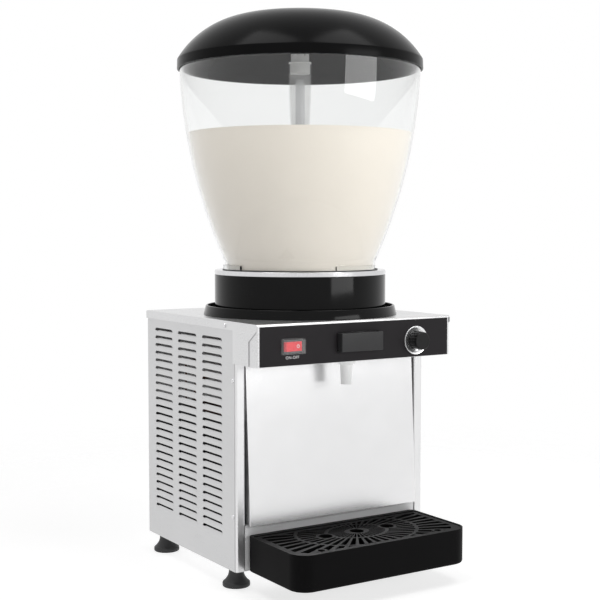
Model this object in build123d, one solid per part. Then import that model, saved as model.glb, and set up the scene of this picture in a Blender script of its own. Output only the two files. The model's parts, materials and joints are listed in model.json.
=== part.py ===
from build123d import *

import os
from math import asin, cos, pi, radians, sin, sqrt, tan

# A counter-top cold drink dispenser: a stainless cabinet with the cooling works inside, a head that
# overhangs a drip tray, and a clear bowl with a domed lid on a cooled basin. Millimetres, +Z up, the
# front towards -Y. The origin is on the floor, under the middle of the whole outline.

# Clearances
FIT = 0.3            # between pieces that sit beside each other
RUNNING = 0.08       # between a shaft and the hole that it turns or slides in
SLIDE = 0.6          # around pieces that are lifted, pushed or pulled by hand

# Cabinet
CABINET_WIDTH = 355.5        # over the side panels
CABINET_DEPTH = 369.0        # face of the control panel to the rear panel
CABINET_TOP = 413.0          # top of the cover above the floor
FOOT_HEIGHT = 32.0           # underside of the base pan above the floor
SHEET = 1.0                  # gauge of the stainless sheet
FOLD = 2.5                   # outer radius of a sheet fold
TRAY_REACH = 78.5            # the tray stands this far in front of the control panel
GLAND_REACH = 11.5           # the cable gland stands this far behind the rear panel
BOWL_SETBACK = 165.5         # axis of the bowl behind the control panel

# Head that overhangs the tray
HEAD_OVERHANG = 67.5
HEAD_HEIGHT = 63.2
COVER_PLAY = 2.0             # gap between the cover's skirt and the side panel
COVER_SKIRT = 13.0
COVER_FRONT_LIP = 3.5
CHEEK_OVERLAP = 3.0          # the cheek reaches this far behind the face of the post
CHEEK_CUT_DEPTH = 24.0       # the cheek stops this far behind the control panel
CHEEK_CUT_RISE = 36.5        # height of the upright part of that cut
CHEEK_CUT_SLOPE = 18.0       # rise of its slanted part
FASCIA_FLANGE = 42.0
PANEL_THICK = 1.5
PANEL_WIDTH = 349.0
PANEL_MARGIN = 0.6           # metal that shows under the control panel

# Front posts, splash sheet and lower rail
POST_WIDTH = 15.5
POST_DEPTH = 22.0
POST_BEND = 3.0
POST_GAP = 3.5
SPLASH_HEIGHT = 101.4        # lower edge of the splash sheet above the floor
SPLASH_PROUD = 9.5
SPLASH_LEAN = 3.2            # degrees
SPLASH_RISE = 8.0            # height of the sheet that is hidden in the head
SPLASH_RETURN = 14.0
RAIL_INSET = 1.0
RAIL_LEDGE = 12.0

# Side panels and their louvres
SIDE_INSET = 4.0             # front edge of a side panel behind the face of the post
SIDE_RETURN = 12.0
LOUVRE_LENGTH = 63.0
LOUVRE_GAP = 4.0             # open slot under the lip
LOUVRE_RISE = 6.5
LOUVRE_DEPTH = 2.9
LOUVRE_LAND = 1.2
LOUVRE_TAPER = 5.0
LOUVRE_PITCH = 12.95
LOUVRE_ROWS = 24
LOUVRE_FROM_TOP = 28.8       # top slot under the top of the cover
LOUVRE_COLUMNS = 3
LOUVRE_COLUMN_PITCH = 83.5
LOUVRE_FROM_REAR = 61.0      # middle of the last column in front of the rear panel

# Base pan, rear panel and cable gland
PAN_FLANGE = 15.0
VENT_LENGTH = 100.0
VENT_HEIGHT = 5.0
VENT_PITCH = 15.0
VENT_ROWS = 12
VENT_X = 75.0
VENT_LOWEST = 130.0
GLAND_X = 40.0
GLAND_Z = 75.0
GLAND_RADIUS = 12.0
GLAND_BORE = 4.0
GLAND_NECK = 8.0
GLAND_NUT = 6.0

# Feet
FOOT_RADIUS = 21.5
FOOT_PAD = 8.0
FOOT_NECK_RADIUS = 11.5
FOOT_NECK_HEIGHT = 10.0
FOOT_EDGE = 2.0
FOOT_INSET = 22.0            # centre of a foot inside the side panel
FOOT_FRONT_INSET = 38.0
FOOT_REAR_INSET = 22.0
STUD_RADIUS = 4.0
STUD_SPARE = 4.0
NUT_HEIGHT = 6.5
NUT_CORNER_RADIUS = 7.5

# Screws
SCREW_RADIUS = 1.9
SCREW_HEAD_RADIUS = 3.5
SCREW_HEAD_HEIGHT = 2.0
SCREW_LENGTH = 6.0
SIDE_SCREW_INSET = 8.0       # behind the face of the post
SIDE_SCREW_HEIGHTS = (116.3, 323.4)
COVER_SCREW_SETBACK = 94.4
REAR_SCREW_INSET = 6.0
REAR_SCREW_HEIGHTS = (60.0, 215.0, 380.0)

# Drip tray and grille
TRAY_WIDTH = 316.0
TRAY_HEIGHT = 55.0
TRAY_CORNER = 28.0
TRAY_REAR_CORNER = 9.0
TRAY_WALL = 3.0
TRAY_LEDGE = 4.0
TRAY_EDGE = 4.0
GRILLE_THICK = 4.0
GRILLE_DROP = 1.0            # grille below the rim of the tray
GRILLE_BORDER = 9.0
GRILLE_SPOKES = 40
GRILLE_SQUASH = 0.74         # rings are ellipses, narrower front to back
GRILLE_RINGS = ((21.0, 48.0), (54.0, 99.0), (105.0, 160.0))
GRILLE_OPEN = 0.62           # share of the pitch that is slot
GRILLE_MIDDLE = 82.0         # middle of the rings behind the front of the tray
GRILLE_HOLE = 11.0
GRILLE_HOLE_PITCH = 58.0
GRILLE_HOLE_RIM = 4.0
GRILLE_PEEP = 5.5
GRILLE_PEEP_X = 108.0
PEG_RADIUS = 5.0
PEG_X = 90.0
PEG_DROP = 24.0              # below the rim of the tray
PEG_SPARE = 4.0

# Cooled basin on the cover
BASIN_RADIUS = 125.5         # inside
BASIN_FLOOR = 13.0           # top of the basin's floor above the cover
RIM_HEIGHT = 7.0
RIM_TOP = 72.0               # above the cover
BAND_RADIUS = 139.4
BAND_WALL = 2.0
GUTTER_RADIUS = 158.0
GUTTER_TOP_RADIUS = 154.0
GUTTER_HEIGHT = 15.0
GUTTER_WALL = 3.0
GASKET_THICK = 1.5
GASKET_DEPTH = 18.0
GASKET_LIP = 1.5
COIL_TUBE = 4.0
COIL_PASSES = 4
COIL_PITCH = 12.0
COIL_GAP = 30.0              # degrees left open at the rear
COIL_FIRST = 20.0            # first pass above the cover

# Bowl
BOWL_WALL = 3.0
BOWL_NECK_RADIUS = 123.0
BOWL_FLARE = 86.0            # start of the flare above the cover
BOWL_WAIST_RADIUS = 174.8
BOWL_WAIST = 242.5
BOWL_TOP_RADIUS = 194.9
BOWL_TOP = 402.0
BOWL_NECK_DEPTH = 17.0       # neck below the rim of the basin
LUG_RADIUS = 126.0
LUG_HEIGHT = 6.5
LUG_COUNT = 3
LUG_SPAN = 45.0
LUG_START = -96.0

# Lid
LID_RADIUS = 198.3
LID_LIP_RADIUS = 198.7
LID_LIP_DROP = 6.3          # lip below the rim of the bowl
LID_LIP_HEIGHT = 15.0
LID_HEIGHT = 75.0            # crown above the crease of the lip
LID_CROWN_RADIUS = 560.0
LID_SHOULDER = 100.0
LID_WALL = 3.0
LID_LIP_WALL = 3.0
LID_SEAT_THICK = 5.0
LID_RIB_WALL = 2.5
LID_RIB_DEPTH = 8.0

# Spray riser
RISER_RADIUS = 7.7
RISER_WALL = 0.8
RISER_TOP = 379.0            # above the cover
SLEEVE_RADIUS = 15.8
SLEEVE_TOP_RADIUS = 18.4
SLEEVE_WALL = 2.0
SLEEVE_TAPER_LOW = 300.0
SLEEVE_TAPER_HIGH = 370.0
SLEEVE_TOP = 405.0
CAP_RADIUS = 14.7
CAP_HEIGHT = 24.0
CAP_PLUG = 16.0
CAP_WALL = 2.5
CAP_FLANGE = 2.0
CAP_JET = 2.0
CAP_JETS = 8

# Spray pump and its motor
PUMP_RADIUS = 45.0
PUMP_HEIGHT = 28.0
PUMP_WALL = 3.0
PUMP_NECK_RADIUS = 14.0
PUMP_NECK_HEIGHT = 18.0
PUMP_WINDOWS = 6
PUMP_WINDOW_WIDTH = 14.0
PUMP_WINDOW_HEIGHT = 12.0
IMPELLER_RADIUS = 32.0
IMPELLER_DISC = 6.0
IMPELLER_VANE = 9.0
IMPELLER_VANE_WALL = 2.5
IMPELLER_VANES = 6
IMPELLER_HUB = 8.0
PIN_RADIUS = 3.0
MAGNET_RADIUS = 32.0
MAGNET_HEIGHT = 7.0
MAGNET_BELOW_BASIN = 2.0
DRIVE_SHAFT_RADIUS = 4.0
DRIVE_HOLE = 36.0
MOTOR_RADIUS = 36.0
MOTOR_HEIGHT = 55.0
MOTOR_DROP = 14.0            # motor below the cover
BRACKET_THICK = 2.0
BRACKET_SIDE = 110.0
PILLAR_RADIUS = 5.0
PILLAR_INSET = 9.0
SHAFT_SUNK = 30.0            # shaft inside the motor

# Tap: valve, spout and push block
TAP_SETBACK = 33.0           # axis of the spout behind the control panel
TAP_HEIGHT = 380.3           # axis of the valve above the floor
VALVE_RADIUS = 15.0
VALVE_NECK = 14.0            # radius of the neck between valve and spout
VALVE_BORE = 8.0
VALVE_FRONT = 20.0           # front of the valve behind the control panel
VALVE_GLAND = 4.0
VALVE_SEAT = 43.0
VALVE_SEAT_THICK = 3.0
VALVE_SEAT_BORE = 5.0
VALVE_REAR = 71.0
VALVE_CAP_THICK = 3.0
VALVE_CAP_PLUG = 4.0
SPOUT_RADIUS = 8.2
SPOUT_ROOT_RADIUS = 9.8
SPOUT_BORE = 6.0
SPOUT_DROP = 38.8            # spout below the head
COLLAR_RADIUS = 17.0
COLLAR_HEIGHT = 8.0
OUTLET_OFFSET = 108.0        # outlet in front of the bowl's axis
OUTLET_RADIUS = 8.0
OUTLET_BORE = 6.0
OUTLET_FLANGE = 12.0
OUTLET_FLANGE_THICK = 2.0
INLET_BOSS_RADIUS = 12.0
INLET_BOSS_RISE = 24.0       # top of the inlet boss above the valve's axis
INLET_SOCKET = 10.0
STEM_RADIUS = 3.0
PISTON_RADIUS = 7.5
PISTON_THICK = 4.0
SPRING_RADIUS = 5.5
SPRING_WIRE = 0.6
SPRING_TURNS = 5
PUSH_WIDTH = 77.0
PUSH_HEIGHT = 28.5
PUSH_PROUD = 12.0
PUSH_SUNK = 8.0
PUSH_EDGE = 1.5

# Rocker switch
SWITCH_X = -119.5
SWITCH_Z = 378.6
SWITCH_WIDTH = 35.0
SWITCH_HEIGHT = 17.0
SWITCH_DEPTH = 22.0
SWITCH_WALL = 1.2
SWITCH_BEZEL = 1.0           # bezel beyond the body, all round
SWITCH_BEZEL_THICK = 1.5
SWITCH_FLOOR = 10.0          # floor of the rocker's well behind the panel
ROCKER_PLAY = 1.4
ROCKER_CROWN = 1.5           # middle of the rocker in front of the panel
ROCKER_TIP = 3.5
ROCKER_SUNK = 3.0
ROCKER_PIVOT = 4.0
ROCKER_PIN = 1.5
ROCKER_TILT = 9.0
HOOD_WIDTH = 40.4
HOOD_HEIGHT = 24.3
HOOD_DEPTH = 7.6
HOOD_WALL = 1.2
HOOD_DRAFT = 8.0             # degrees

# Thermostat and knob
KNOB_X = 108.7
KNOB_Z = 376.6
DISH_RADIUS = 22.4
DISH_DEPTH = 4.0
DISH_FLOOR = 1.2
DISH_FLOOR_RADIUS = 15.6
DISH_RIM = 0.8
KNOB_RADIUS = 14.6
KNOB_TOP_RADIUS = 14.0
KNOB_REACH = 21.0
KNOB_SKIRT_RADIUS = 15.2
KNOB_SKIRT_THICK = 2.5
KNOB_GRIPS = 18
KNOB_GRIP = 1.0
KNOB_SHAFT_RADIUS = 3.0
THERMOSTAT_WIDTH = 44.0
THERMOSTAT_HEIGHT = 36.0
THERMOSTAT_DEPTH = 28.0
THERMOSTAT_SHAFT = 22.0      # shaft inside the thermostat
SHAFT_HOLE = 5.0

# Compressor
COMPRESSOR_X = 75.0
COMPRESSOR_FROM_REAR = 96.0
COMPRESSOR_RADIUS = 62.0
COMPRESSOR_HEIGHT = 150.0
COMPRESSOR_DOME = 18.0
COMPRESSOR_FOOT = 3.0
COMPRESSOR_FOOT_X = 140.0
COMPRESSOR_FOOT_Y = 120.0
MOUNT_RADIUS = 9.0
MOUNT_HEIGHT = 13.0
MOUNT_INSET = 11.0
BOLT_RADIUS = 3.0
BOLT_HEAD_RADIUS = 5.5
BOLT_HEAD_HEIGHT = 4.0

# Condenser, its frame and the fan
CONDENSER_INSET = 9.0        # from the side panel
CONDENSER_THICK = 40.0
CONDENSER_LENGTH = 220.0
CONDENSER_HEIGHT = 220.0
CONDENSER_FROM_REAR = 142.0  # its middle, and the fan's axis, in front of the rear panel
CONDENSER_FINS = 27
CONDENSER_FIN_GAP = 4.5
CONDENSER_CORE = 8.0
FRAME_SHEET = 1.5
BEND_TUBE = 4.0
BEND_PITCH = 36.0
BEND_COUNT = 5
SHROUD_THICK = 2.0
SHROUD_HOLE = 94.0
FAN_RADIUS = 88.0
FAN_HUB = 22.0
FAN_HUB_LENGTH = 20.0
FAN_BLADES = 5
FAN_BLADE_THICK = 1.6
FAN_BLADE_WIDTH = 52.0
FAN_PITCH = 24.0
FAN_GAP = 12.0               # hub to shroud
FAN_SHAFT = 4.0
FAN_MOTOR_RADIUS = 32.0
FAN_MOTOR_LENGTH = 40.0
FAN_MOTOR_GAP = 5.0
FAN_SHAFT_SUNK = 25.0
PEDESTAL_WIDTH = 50.0
PEDESTAL_LENGTH = 24.0

# Refrigerant lines
DRIER_RADIUS = 10.0
DRIER_LENGTH = 110.0
DRIER_INSET = 18.0           # from the outer face of the condenser
DRIER_START = 26.0           # from the front of the condenser
LINE_RADIUS = 3.0
SUCTION_RADIUS = 4.0
CAPILLARY_RADIUS = 1.5
LINE_BEND = 14.0
SHORT_BEND = 5.0
LINE_SHELF = 334.0           # height at which the capillary crosses
SUCTION_SHELF = 279.0
DISCHARGE_SHELF = 304.0
DISCHARGE_INSET = 8.0        # from the inner face of the condenser
LIQUID_LEAD = 14.0
COIL_LEAD = 8.0              # from the coil's end to the capillary
COIL_LEAD_LONG = 20.0        # from the coil's end to the suction line
SUCTION_PORT = 30.0          # from the compressor's axis

# Terminal box
TERMINAL_WIDTH = 80.0
TERMINAL_DEPTH = 36.0
TERMINAL_HEIGHT = 60.0
TERMINAL_X = 105.0
TERMINAL_Z = 300.0

# Places worked out from the driving dimensions
HALF = CABINET_WIDTH / 2
OVERALL_DEPTH = TRAY_REACH + CABINET_DEPTH + GLAND_REACH
PANEL_Y = TRAY_REACH - OVERALL_DEPTH / 2
REAR_Y = PANEL_Y + CABINET_DEPTH
POST_Y = PANEL_Y + HEAD_OVERHANG
BOWL_Y = PANEL_Y + BOWL_SETBACK
FASCIA_Y = PANEL_Y + PANEL_THICK
HEAD_Z = CABINET_TOP - HEAD_HEIGHT
UNDER_COVER = CABINET_TOP - SHEET
UNDER_FOLD = CABINET_TOP - FOLD - FIT
SIDE_TOP = UNDER_COVER - FIT
COVER_HALF = HALF + COVER_PLAY + SHEET
COVER_REAR = REAR_Y + FIT + SHEET
FASCIA_HALF = COVER_HALF - SHEET - FIT
PAN_TOP = FOOT_HEIGHT + SHEET
POST_OUTER = HALF - SHEET
POST_INNER = POST_OUTER - POST_WIDTH
SPLASH_HALF = POST_INNER - POST_GAP
RAIL_Y = POST_Y + RAIL_INSET
TRAY_FRONT = PANEL_Y - TRAY_REACH
TRAY_REAR = POST_Y - SLIDE
TRAY_TOP = FOOT_HEIGHT + TRAY_HEIGHT
GRILLE_REAR = POST_Y - SPLASH_PROUD - 2 * SLIDE
PEG_FRONT = TRAY_REAR - TRAY_WALL - TRAY_LEDGE - PEG_SPARE
PEG_Z = TRAY_TOP - PEG_DROP
FOOT_X = HALF - FOOT_INSET
FOOT_PLACES = {
    "front_left": (-FOOT_X, POST_Y + FOOT_FRONT_INSET),
    "front_right": (FOOT_X, POST_Y + FOOT_FRONT_INSET),
    "rear_left": (-FOOT_X, REAR_Y - FOOT_REAR_INSET),
    "rear_right": (FOOT_X, REAR_Y - FOOT_REAR_INSET),
}
BASIN_Z = CABINET_TOP + BASIN_FLOOR
BASIN_UNDER = BASIN_Z - SHEET
BASIN_OUTER = BASIN_RADIUS + SHEET
RIM_TOP_Z = CABINET_TOP + RIM_TOP
RIM_LOW_Z = RIM_TOP_Z - RIM_HEIGHT
COIL_RADIUS = BASIN_OUTER + COIL_TUBE + FIT
COIL_LOW_Z = CABINET_TOP + COIL_FIRST
COIL_HIGH_Z = COIL_LOW_Z + (COIL_PASSES - 1) * COIL_PITCH
BOWL_TOP_Z = CABINET_TOP + BOWL_TOP
LUG_Z = RIM_TOP_Z + GASKET_THICK
PUMP_TOP = BASIN_Z + PUMP_HEIGHT
NECK_TOP = PUMP_TOP + PUMP_NECK_HEIGHT
MAGNET_TOP = BASIN_UNDER - MAGNET_BELOW_BASIN
MOTOR_TOP = UNDER_COVER - MOTOR_DROP
TAP_Y = PANEL_Y + TAP_SETBACK
OUTLET_Y = BOWL_Y - OUTLET_OFFSET
SPOUT_Z = HEAD_Z - SPOUT_DROP
INLET_TOP = TAP_HEIGHT + INLET_BOSS_RISE
COMPRESSOR_Y = REAR_Y - COMPRESSOR_FROM_REAR
COMPRESSOR_FOOT_Z = PAN_TOP + MOUNT_HEIGHT
COMPRESSOR_TOP = COMPRESSOR_FOOT_Z + COMPRESSOR_FOOT + COMPRESSOR_HEIGHT
CONDENSER_X = -HALF + CONDENSER_INSET
CONDENSER_INNER = CONDENSER_X + CONDENSER_THICK
FAN_Y = REAR_Y - CONDENSER_FROM_REAR
CONDENSER_REAR = FAN_Y + CONDENSER_LENGTH / 2
CONDENSER_FRONT = FAN_Y - CONDENSER_LENGTH / 2
CONDENSER_Z = PAN_TOP + FRAME_SHEET
CONDENSER_TOP = CONDENSER_Z + CONDENSER_HEIGHT
FAN_Z = CONDENSER_Z + CONDENSER_HEIGHT / 2
SHROUD_X = CONDENSER_INNER + SHROUD_THICK
FAN_X = SHROUD_X + FAN_GAP
FAN_MOTOR_X = FAN_X + FAN_HUB_LENGTH + FAN_MOTOR_GAP
DRIER_X = CONDENSER_X + DRIER_INSET
DRIER_Z = CONDENSER_TOP + DRIER_RADIUS + FIT
DRIER_FRONT = CONDENSER_FRONT + DRIER_START
COIL_END_ANGLE = radians(90 + COIL_GAP / 2)


# Plain shapes between two limits on each axis
def block(x, y, z):
    middle = Pos((x[0] + x[1]) / 2, (y[0] + y[1]) / 2, (z[0] + z[1]) / 2)
    return middle * Box(x[1] - x[0], y[1] - y[0], z[1] - z[0])


def rod(radius, z, x=0.0, y=0.0):
    return Pos(x, y, (z[0] + z[1]) / 2) * Cylinder(radius, z[1] - z[0])


def rod_x(radius, x, y, z):
    return Pos((x[0] + x[1]) / 2, y, z) * Rotation(0, 90, 0) * Cylinder(radius, x[1] - x[0])


def rod_y(radius, y, x, z):
    return Pos(x, (y[0] + y[1]) / 2, z) * Rotation(90, 0, 0) * Cylinder(radius, y[1] - y[0])


def turned(*outline, y=BOWL_Y, arc=360.0, start=0.0):
    """A solid turned about an upright axis from (radius, height) edges or points."""
    edges = outline if isinstance(outline[0], Edge) else [Polyline(*outline, close=True)]
    section = Plane.XZ * make_face(edges)
    return Pos(0, y, 0) * Rotation(0, 0, start) * revolve(section, Axis.Z, arc)


def turned_front(outline, x, z):
    """A solid turned about a front to back axis from (radius, distance in front of the panel) points."""
    section = Plane.XY * make_face(Polyline(*[(radius, -reach) for radius, reach in outline], close=True))
    return Pos(x, PANEL_Y, z) * revolve(section, Axis.Y)


def ring(inner, outer, z, y=BOWL_Y):
    return rod(outer, z, y=y) - rod(inner, (z[0] - SHEET, z[1] + SHEET), y=y)


def pipe(points, bends, radius):
    path = FilletPolyline(*points, radius=bends)
    return sweep(Plane(path @ 0, z_dir=path % 0) * Circle(radius), path)


def edges_along(shape, axis):
    return shape.edges().filter_by(axis)


def both_sides(right):
    return {"right": right, "left": mirror(right, Plane.YZ)}


# Cabinet
def base_pan():
    inner = HALF - SHEET
    pan = block((-inner, inner), (POST_Y, REAR_Y - SHEET), (FOOT_HEIGHT, PAN_TOP))
    front_corners = edges_along(pan, Axis.Z).sort_by(Axis.Y)[:2]
    pan = fillet(front_corners, POST_BEND)
    for side in (-1, 1):
        flange_x = sorted((side * (inner - SHEET), side * inner))
        flange_y = (POST_Y + POST_DEPTH + SHEET, REAR_Y - SHEET - SHEET)
        pan += block(flange_x, flange_y, (PAN_TOP, PAN_TOP + PAN_FLANGE))
    for x, y in FOOT_PLACES.values():
        pan += Pos(x, y, PAN_TOP) * extrude(RegularPolygon(NUT_CORNER_RADIUS, 6), NUT_HEIGHT)
        pan -= rod(STUD_RADIUS + RUNNING, (0, CABINET_TOP), x, y)
    return pan


def side_screw_cuts():
    cuts = []
    for z in SIDE_SCREW_HEIGHTS:
        cuts.append(rod_x(SCREW_RADIUS + RUNNING, (POST_INNER, COVER_HALF), POST_Y + SIDE_SCREW_INSET, z))
    cover_z = CABINET_TOP - COVER_SKIRT / 2 - SHEET / 2
    cuts.append(rod_x(SCREW_RADIUS + RUNNING, (POST_INNER, 2 * HALF), PANEL_Y + COVER_SCREW_SETBACK, cover_z))
    return cuts


def rear_screw_places():
    x = HALF - REAR_SCREW_INSET
    return [(side * x, z) for side in (-1, 1) for z in REAR_SCREW_HEIGHTS]


def rear_screw_cuts():
    deep = (REAR_Y - SIDE_RETURN, REAR_Y + SHEET)
    return [rod_y(SCREW_RADIUS + RUNNING, deep, x, z) for x, z in rear_screw_places()]


def louvre():
    """One pressed lip: flush at its top and ends, standing out over the slot under it."""
    return Wedge(
        LOUVRE_LENGTH, LOUVRE_DEPTH, LOUVRE_RISE, LOUVRE_TAPER, 0, LOUVRE_LENGTH - LOUVRE_TAPER, LOUVRE_LAND,
        align=(Align.CENTER, Align.MIN, Align.MIN),
    )


def side_panel():
    panel = block((HALF - SHEET, HALF), (POST_Y + SIDE_INSET, REAR_Y - SHEET), (FOOT_HEIGHT, SIDE_TOP))
    rear = (REAR_Y - SHEET - SHEET, REAR_Y - SHEET)
    panel += block((HALF - SIDE_RETURN, HALF), rear, (PAN_TOP, SIDE_TOP))
    places = []
    for column in range(LOUVRE_COLUMNS):
        for row in range(LOUVRE_ROWS):
            y = REAR_Y - LOUVRE_FROM_REAR - column * LOUVRE_COLUMN_PITCH
            z = CABINET_TOP - LOUVRE_FROM_TOP - row * LOUVRE_PITCH
            places.append(Pos(HALF, y, z) * Rotation(0, 0, -90))
    slot = block((-LOUVRE_LENGTH / 2, LOUVRE_LENGTH / 2), (-2 * SHEET, SHEET), (-LOUVRE_GAP, 0))
    panel += [place * louvre() for place in places]
    panel -= [place * Pos(0, -SHEET, 0) * louvre() for place in places]
    panel -= [place * slot for place in places]
    panel -= side_screw_cuts()
    return panel - rear_screw_cuts()


def front_post():
    """A folded channel, open to the rear, with a rounded face."""
    def channel(inset, depth):
        shape = block(
            (POST_INNER + inset, POST_OUTER - inset),
            (POST_Y + inset, POST_Y + depth),
            (PAN_TOP, UNDER_COVER),
        )
        corners = edges_along(shape, Axis.Z).sort_by(Axis.Y)[:2]
        return fillet(corners, POST_BEND - inset)

    post = channel(0.0, POST_DEPTH) - channel(SHEET, 2 * POST_DEPTH)
    return post - side_screw_cuts()


def splash_y(z):
    return POST_Y - SPLASH_PROUD + (z - SPLASH_HEIGHT) * tan(radians(SPLASH_LEAN))


def splash_sheet():
    low, high = SPLASH_HEIGHT, HEAD_Z + SPLASH_RISE
    back = POST_Y + SPLASH_RETURN

    def slice_between(x, thickness):
        rear = [(splash_y(high) + thickness, high), (splash_y(low) + thickness, low)]
        if thickness == 0.0:
            rear = [(back, high), (back, low)]
        profile = Polyline((splash_y(low), low), (splash_y(high), high), *rear, close=True)
        return Pos(x[0], 0, 0) * extrude(Plane.YZ * make_face(profile), x[1] - x[0])

    sheet = slice_between((-SPLASH_HALF, SPLASH_HALF), SHEET)
    sheet += slice_between((SPLASH_HALF - SHEET, SPLASH_HALF), 0.0)
    sheet += slice_between((-SPLASH_HALF, SHEET - SPLASH_HALF), 0.0)
    sheet += block((-SPLASH_HALF, SPLASH_HALF), (splash_y(low) + SHEET, back), (low, low + SHEET))
    return sheet


def lower_rail():
    reach = POST_INNER - FIT
    rail = block((-reach, reach), (RAIL_Y, RAIL_Y + SHEET), (PAN_TOP, SPLASH_HEIGHT))
    rail += block((-reach, reach), (RAIL_Y, RAIL_Y + RAIL_LEDGE), (SPLASH_HEIGHT - SHEET, SPLASH_HEIGHT))
    rail += [rod_y(PEG_RADIUS, (PEG_FRONT, RAIL_Y), side * PEG_X, PEG_Z) for side in (-1, 1)]
    return rail


def rear_panel():
    panel = block((-HALF, HALF), (REAR_Y - SHEET, REAR_Y), (FOOT_HEIGHT, UNDER_FOLD))
    slots = []
    for row in range(VENT_ROWS):
        z = VENT_LOWEST + row * VENT_PITCH
        slots.append(block(
            (VENT_X - VENT_LENGTH / 2, VENT_X + VENT_LENGTH / 2),
            (REAR_Y - 2 * SHEET, REAR_Y + SHEET),
            (z, z + VENT_HEIGHT),
        ))
    panel -= slots
    panel -= rear_screw_cuts()
    panel -= rod_y(GLAND_NECK + RUNNING, (REAR_Y - 2 * SHEET, REAR_Y + SHEET), GLAND_X, GLAND_Z)
    return panel


def cable_gland():
    gland = rod_y(GLAND_RADIUS, (REAR_Y, REAR_Y + GLAND_REACH), GLAND_X, GLAND_Z)
    gland += rod_y(GLAND_NECK, (REAR_Y - SHEET, REAR_Y), GLAND_X, GLAND_Z)
    gland += rod_y(GLAND_RADIUS, (REAR_Y - SHEET - GLAND_NUT, REAR_Y - SHEET), GLAND_X, GLAND_Z)
    bore = (REAR_Y - 2 * GLAND_NUT, REAR_Y + 2 * GLAND_REACH)
    return gland - rod_y(GLAND_BORE, bore, GLAND_X, GLAND_Z)


def terminal_box():
    rear = REAR_Y - SHEET
    return fillet(
        edges_along(block(
            (TERMINAL_X - TERMINAL_WIDTH / 2, TERMINAL_X + TERMINAL_WIDTH / 2),
            (rear - TERMINAL_DEPTH, rear),
            (TERMINAL_Z, TERMINAL_Z + TERMINAL_HEIGHT),
        ), Axis.Y),
        FOLD,
    )


# Head: cover, fascia and control panel
def top_cover():
    def hull(inset):
        shape = block(
            (inset - COVER_HALF, COVER_HALF - inset),
            (PANEL_Y + inset, COVER_REAR - inset),
            (HEAD_Z - 2 * inset, CABINET_TOP - inset),
        )
        folds = edges_along(shape, Axis.Z) + shape.edges().group_by(Axis.Z)[-1]
        return fillet(folds, FOLD - inset)

    cover = hull(0.0) - hull(SHEET)
    wide = 2 * COVER_HALF
    behind_cheek = (POST_Y + CHEEK_OVERLAP, COVER_REAR + SHEET)
    cover -= block((-wide, wide), behind_cheek, (HEAD_Z - SHEET, CABINET_TOP - COVER_SKIRT))
    inner = COVER_HALF - SHEET
    lip_z = CABINET_TOP - COVER_FRONT_LIP
    cover -= block((-inner, inner), (PANEL_Y - SHEET, PANEL_Y + FOLD), (HEAD_Z - SHEET, lip_z))
    cut_z = HEAD_Z + CHEEK_CUT_RISE
    cheek_cut = Polyline(
        (PANEL_Y - SHEET, HEAD_Z - SHEET),
        (PANEL_Y + CHEEK_CUT_DEPTH, HEAD_Z - SHEET),
        (PANEL_Y + CHEEK_CUT_DEPTH, cut_z),
        (PANEL_Y - SHEET, cut_z + CHEEK_CUT_SLOPE),
        close=True,
    )
    cover -= extrude(Plane.YZ * make_face(cheek_cut), wide, both=True)
    around = (UNDER_COVER - SHEET, CABINET_TOP + SHEET)
    cover -= rod(DRIVE_HOLE, around, y=BOWL_Y)
    cover -= rod(OUTLET_RADIUS + FIT, around, y=OUTLET_Y)
    for reach, radius in ((COIL_LEAD, CAPILLARY_RADIUS), (COIL_LEAD_LONG, SUCTION_RADIUS)):
        cover -= rod(radius + FIT, around, *coil_lead(reach))
    cover -= side_screw_cuts()
    cover -= [mirror(cut, Plane.YZ) for cut in side_screw_cuts()]
    return cover


def panel_window(x, z, width, height):
    deep = (PANEL_Y - SHEET, FASCIA_Y + 2 * SHEET)
    return block((x - width / 2, x + width / 2), deep, (z - height / 2, z + height / 2))


def panel_windows():
    """The openings for the switch, the push block and the knob's shaft, through panel and fascia."""
    push = panel_window(0.0, TAP_HEIGHT, PUSH_WIDTH + 2 * SLIDE, PUSH_HEIGHT + 2 * SLIDE)
    switch = panel_window(SWITCH_X, SWITCH_Z, SWITCH_WIDTH + 2 * FIT, SWITCH_HEIGHT + 2 * FIT)
    shaft = rod_y(SHAFT_HOLE, (PANEL_Y - SHEET, FASCIA_Y + 2 * SHEET), KNOB_X, KNOB_Z)
    return [push, switch, shaft]


def front_fascia():
    def hull(inset, rear):
        across = (inset - FASCIA_HALF, FASCIA_HALF - inset)
        shape = block(across, (FASCIA_Y + inset, rear), (HEAD_Z, UNDER_FOLD))
        corners = edges_along(shape, Axis.Z).sort_by(Axis.Y)[:2]
        return fillet(corners, FOLD - inset)

    flange_end = FASCIA_Y + FASCIA_FLANGE
    fascia = hull(0.0, flange_end) - hull(SHEET, flange_end + FASCIA_FLANGE)
    reach = FASCIA_HALF - SHEET
    front, under = FASCIA_Y + SHEET, (HEAD_Z, HEAD_Z + SHEET)
    splash = splash_y(HEAD_Z)
    fascia += block((-reach, reach), (front, min(POST_Y, splash) - FIT), under)
    fascia += block((-SPLASH_HALF, SPLASH_HALF), (front, splash - FIT), under)
    fascia -= rod(SPOUT_ROOT_RADIUS + FIT, (HEAD_Z - SHEET, HEAD_Z + 2 * SHEET), y=TAP_Y)
    return fascia - panel_windows()


def control_panel():
    low = HEAD_Z + PANEL_MARGIN
    high = CABINET_TOP - COVER_FRONT_LIP - FIT
    panel = block((-PANEL_WIDTH / 2, PANEL_WIDTH / 2), (PANEL_Y, FASCIA_Y), (low, high))
    return panel - panel_windows()


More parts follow.
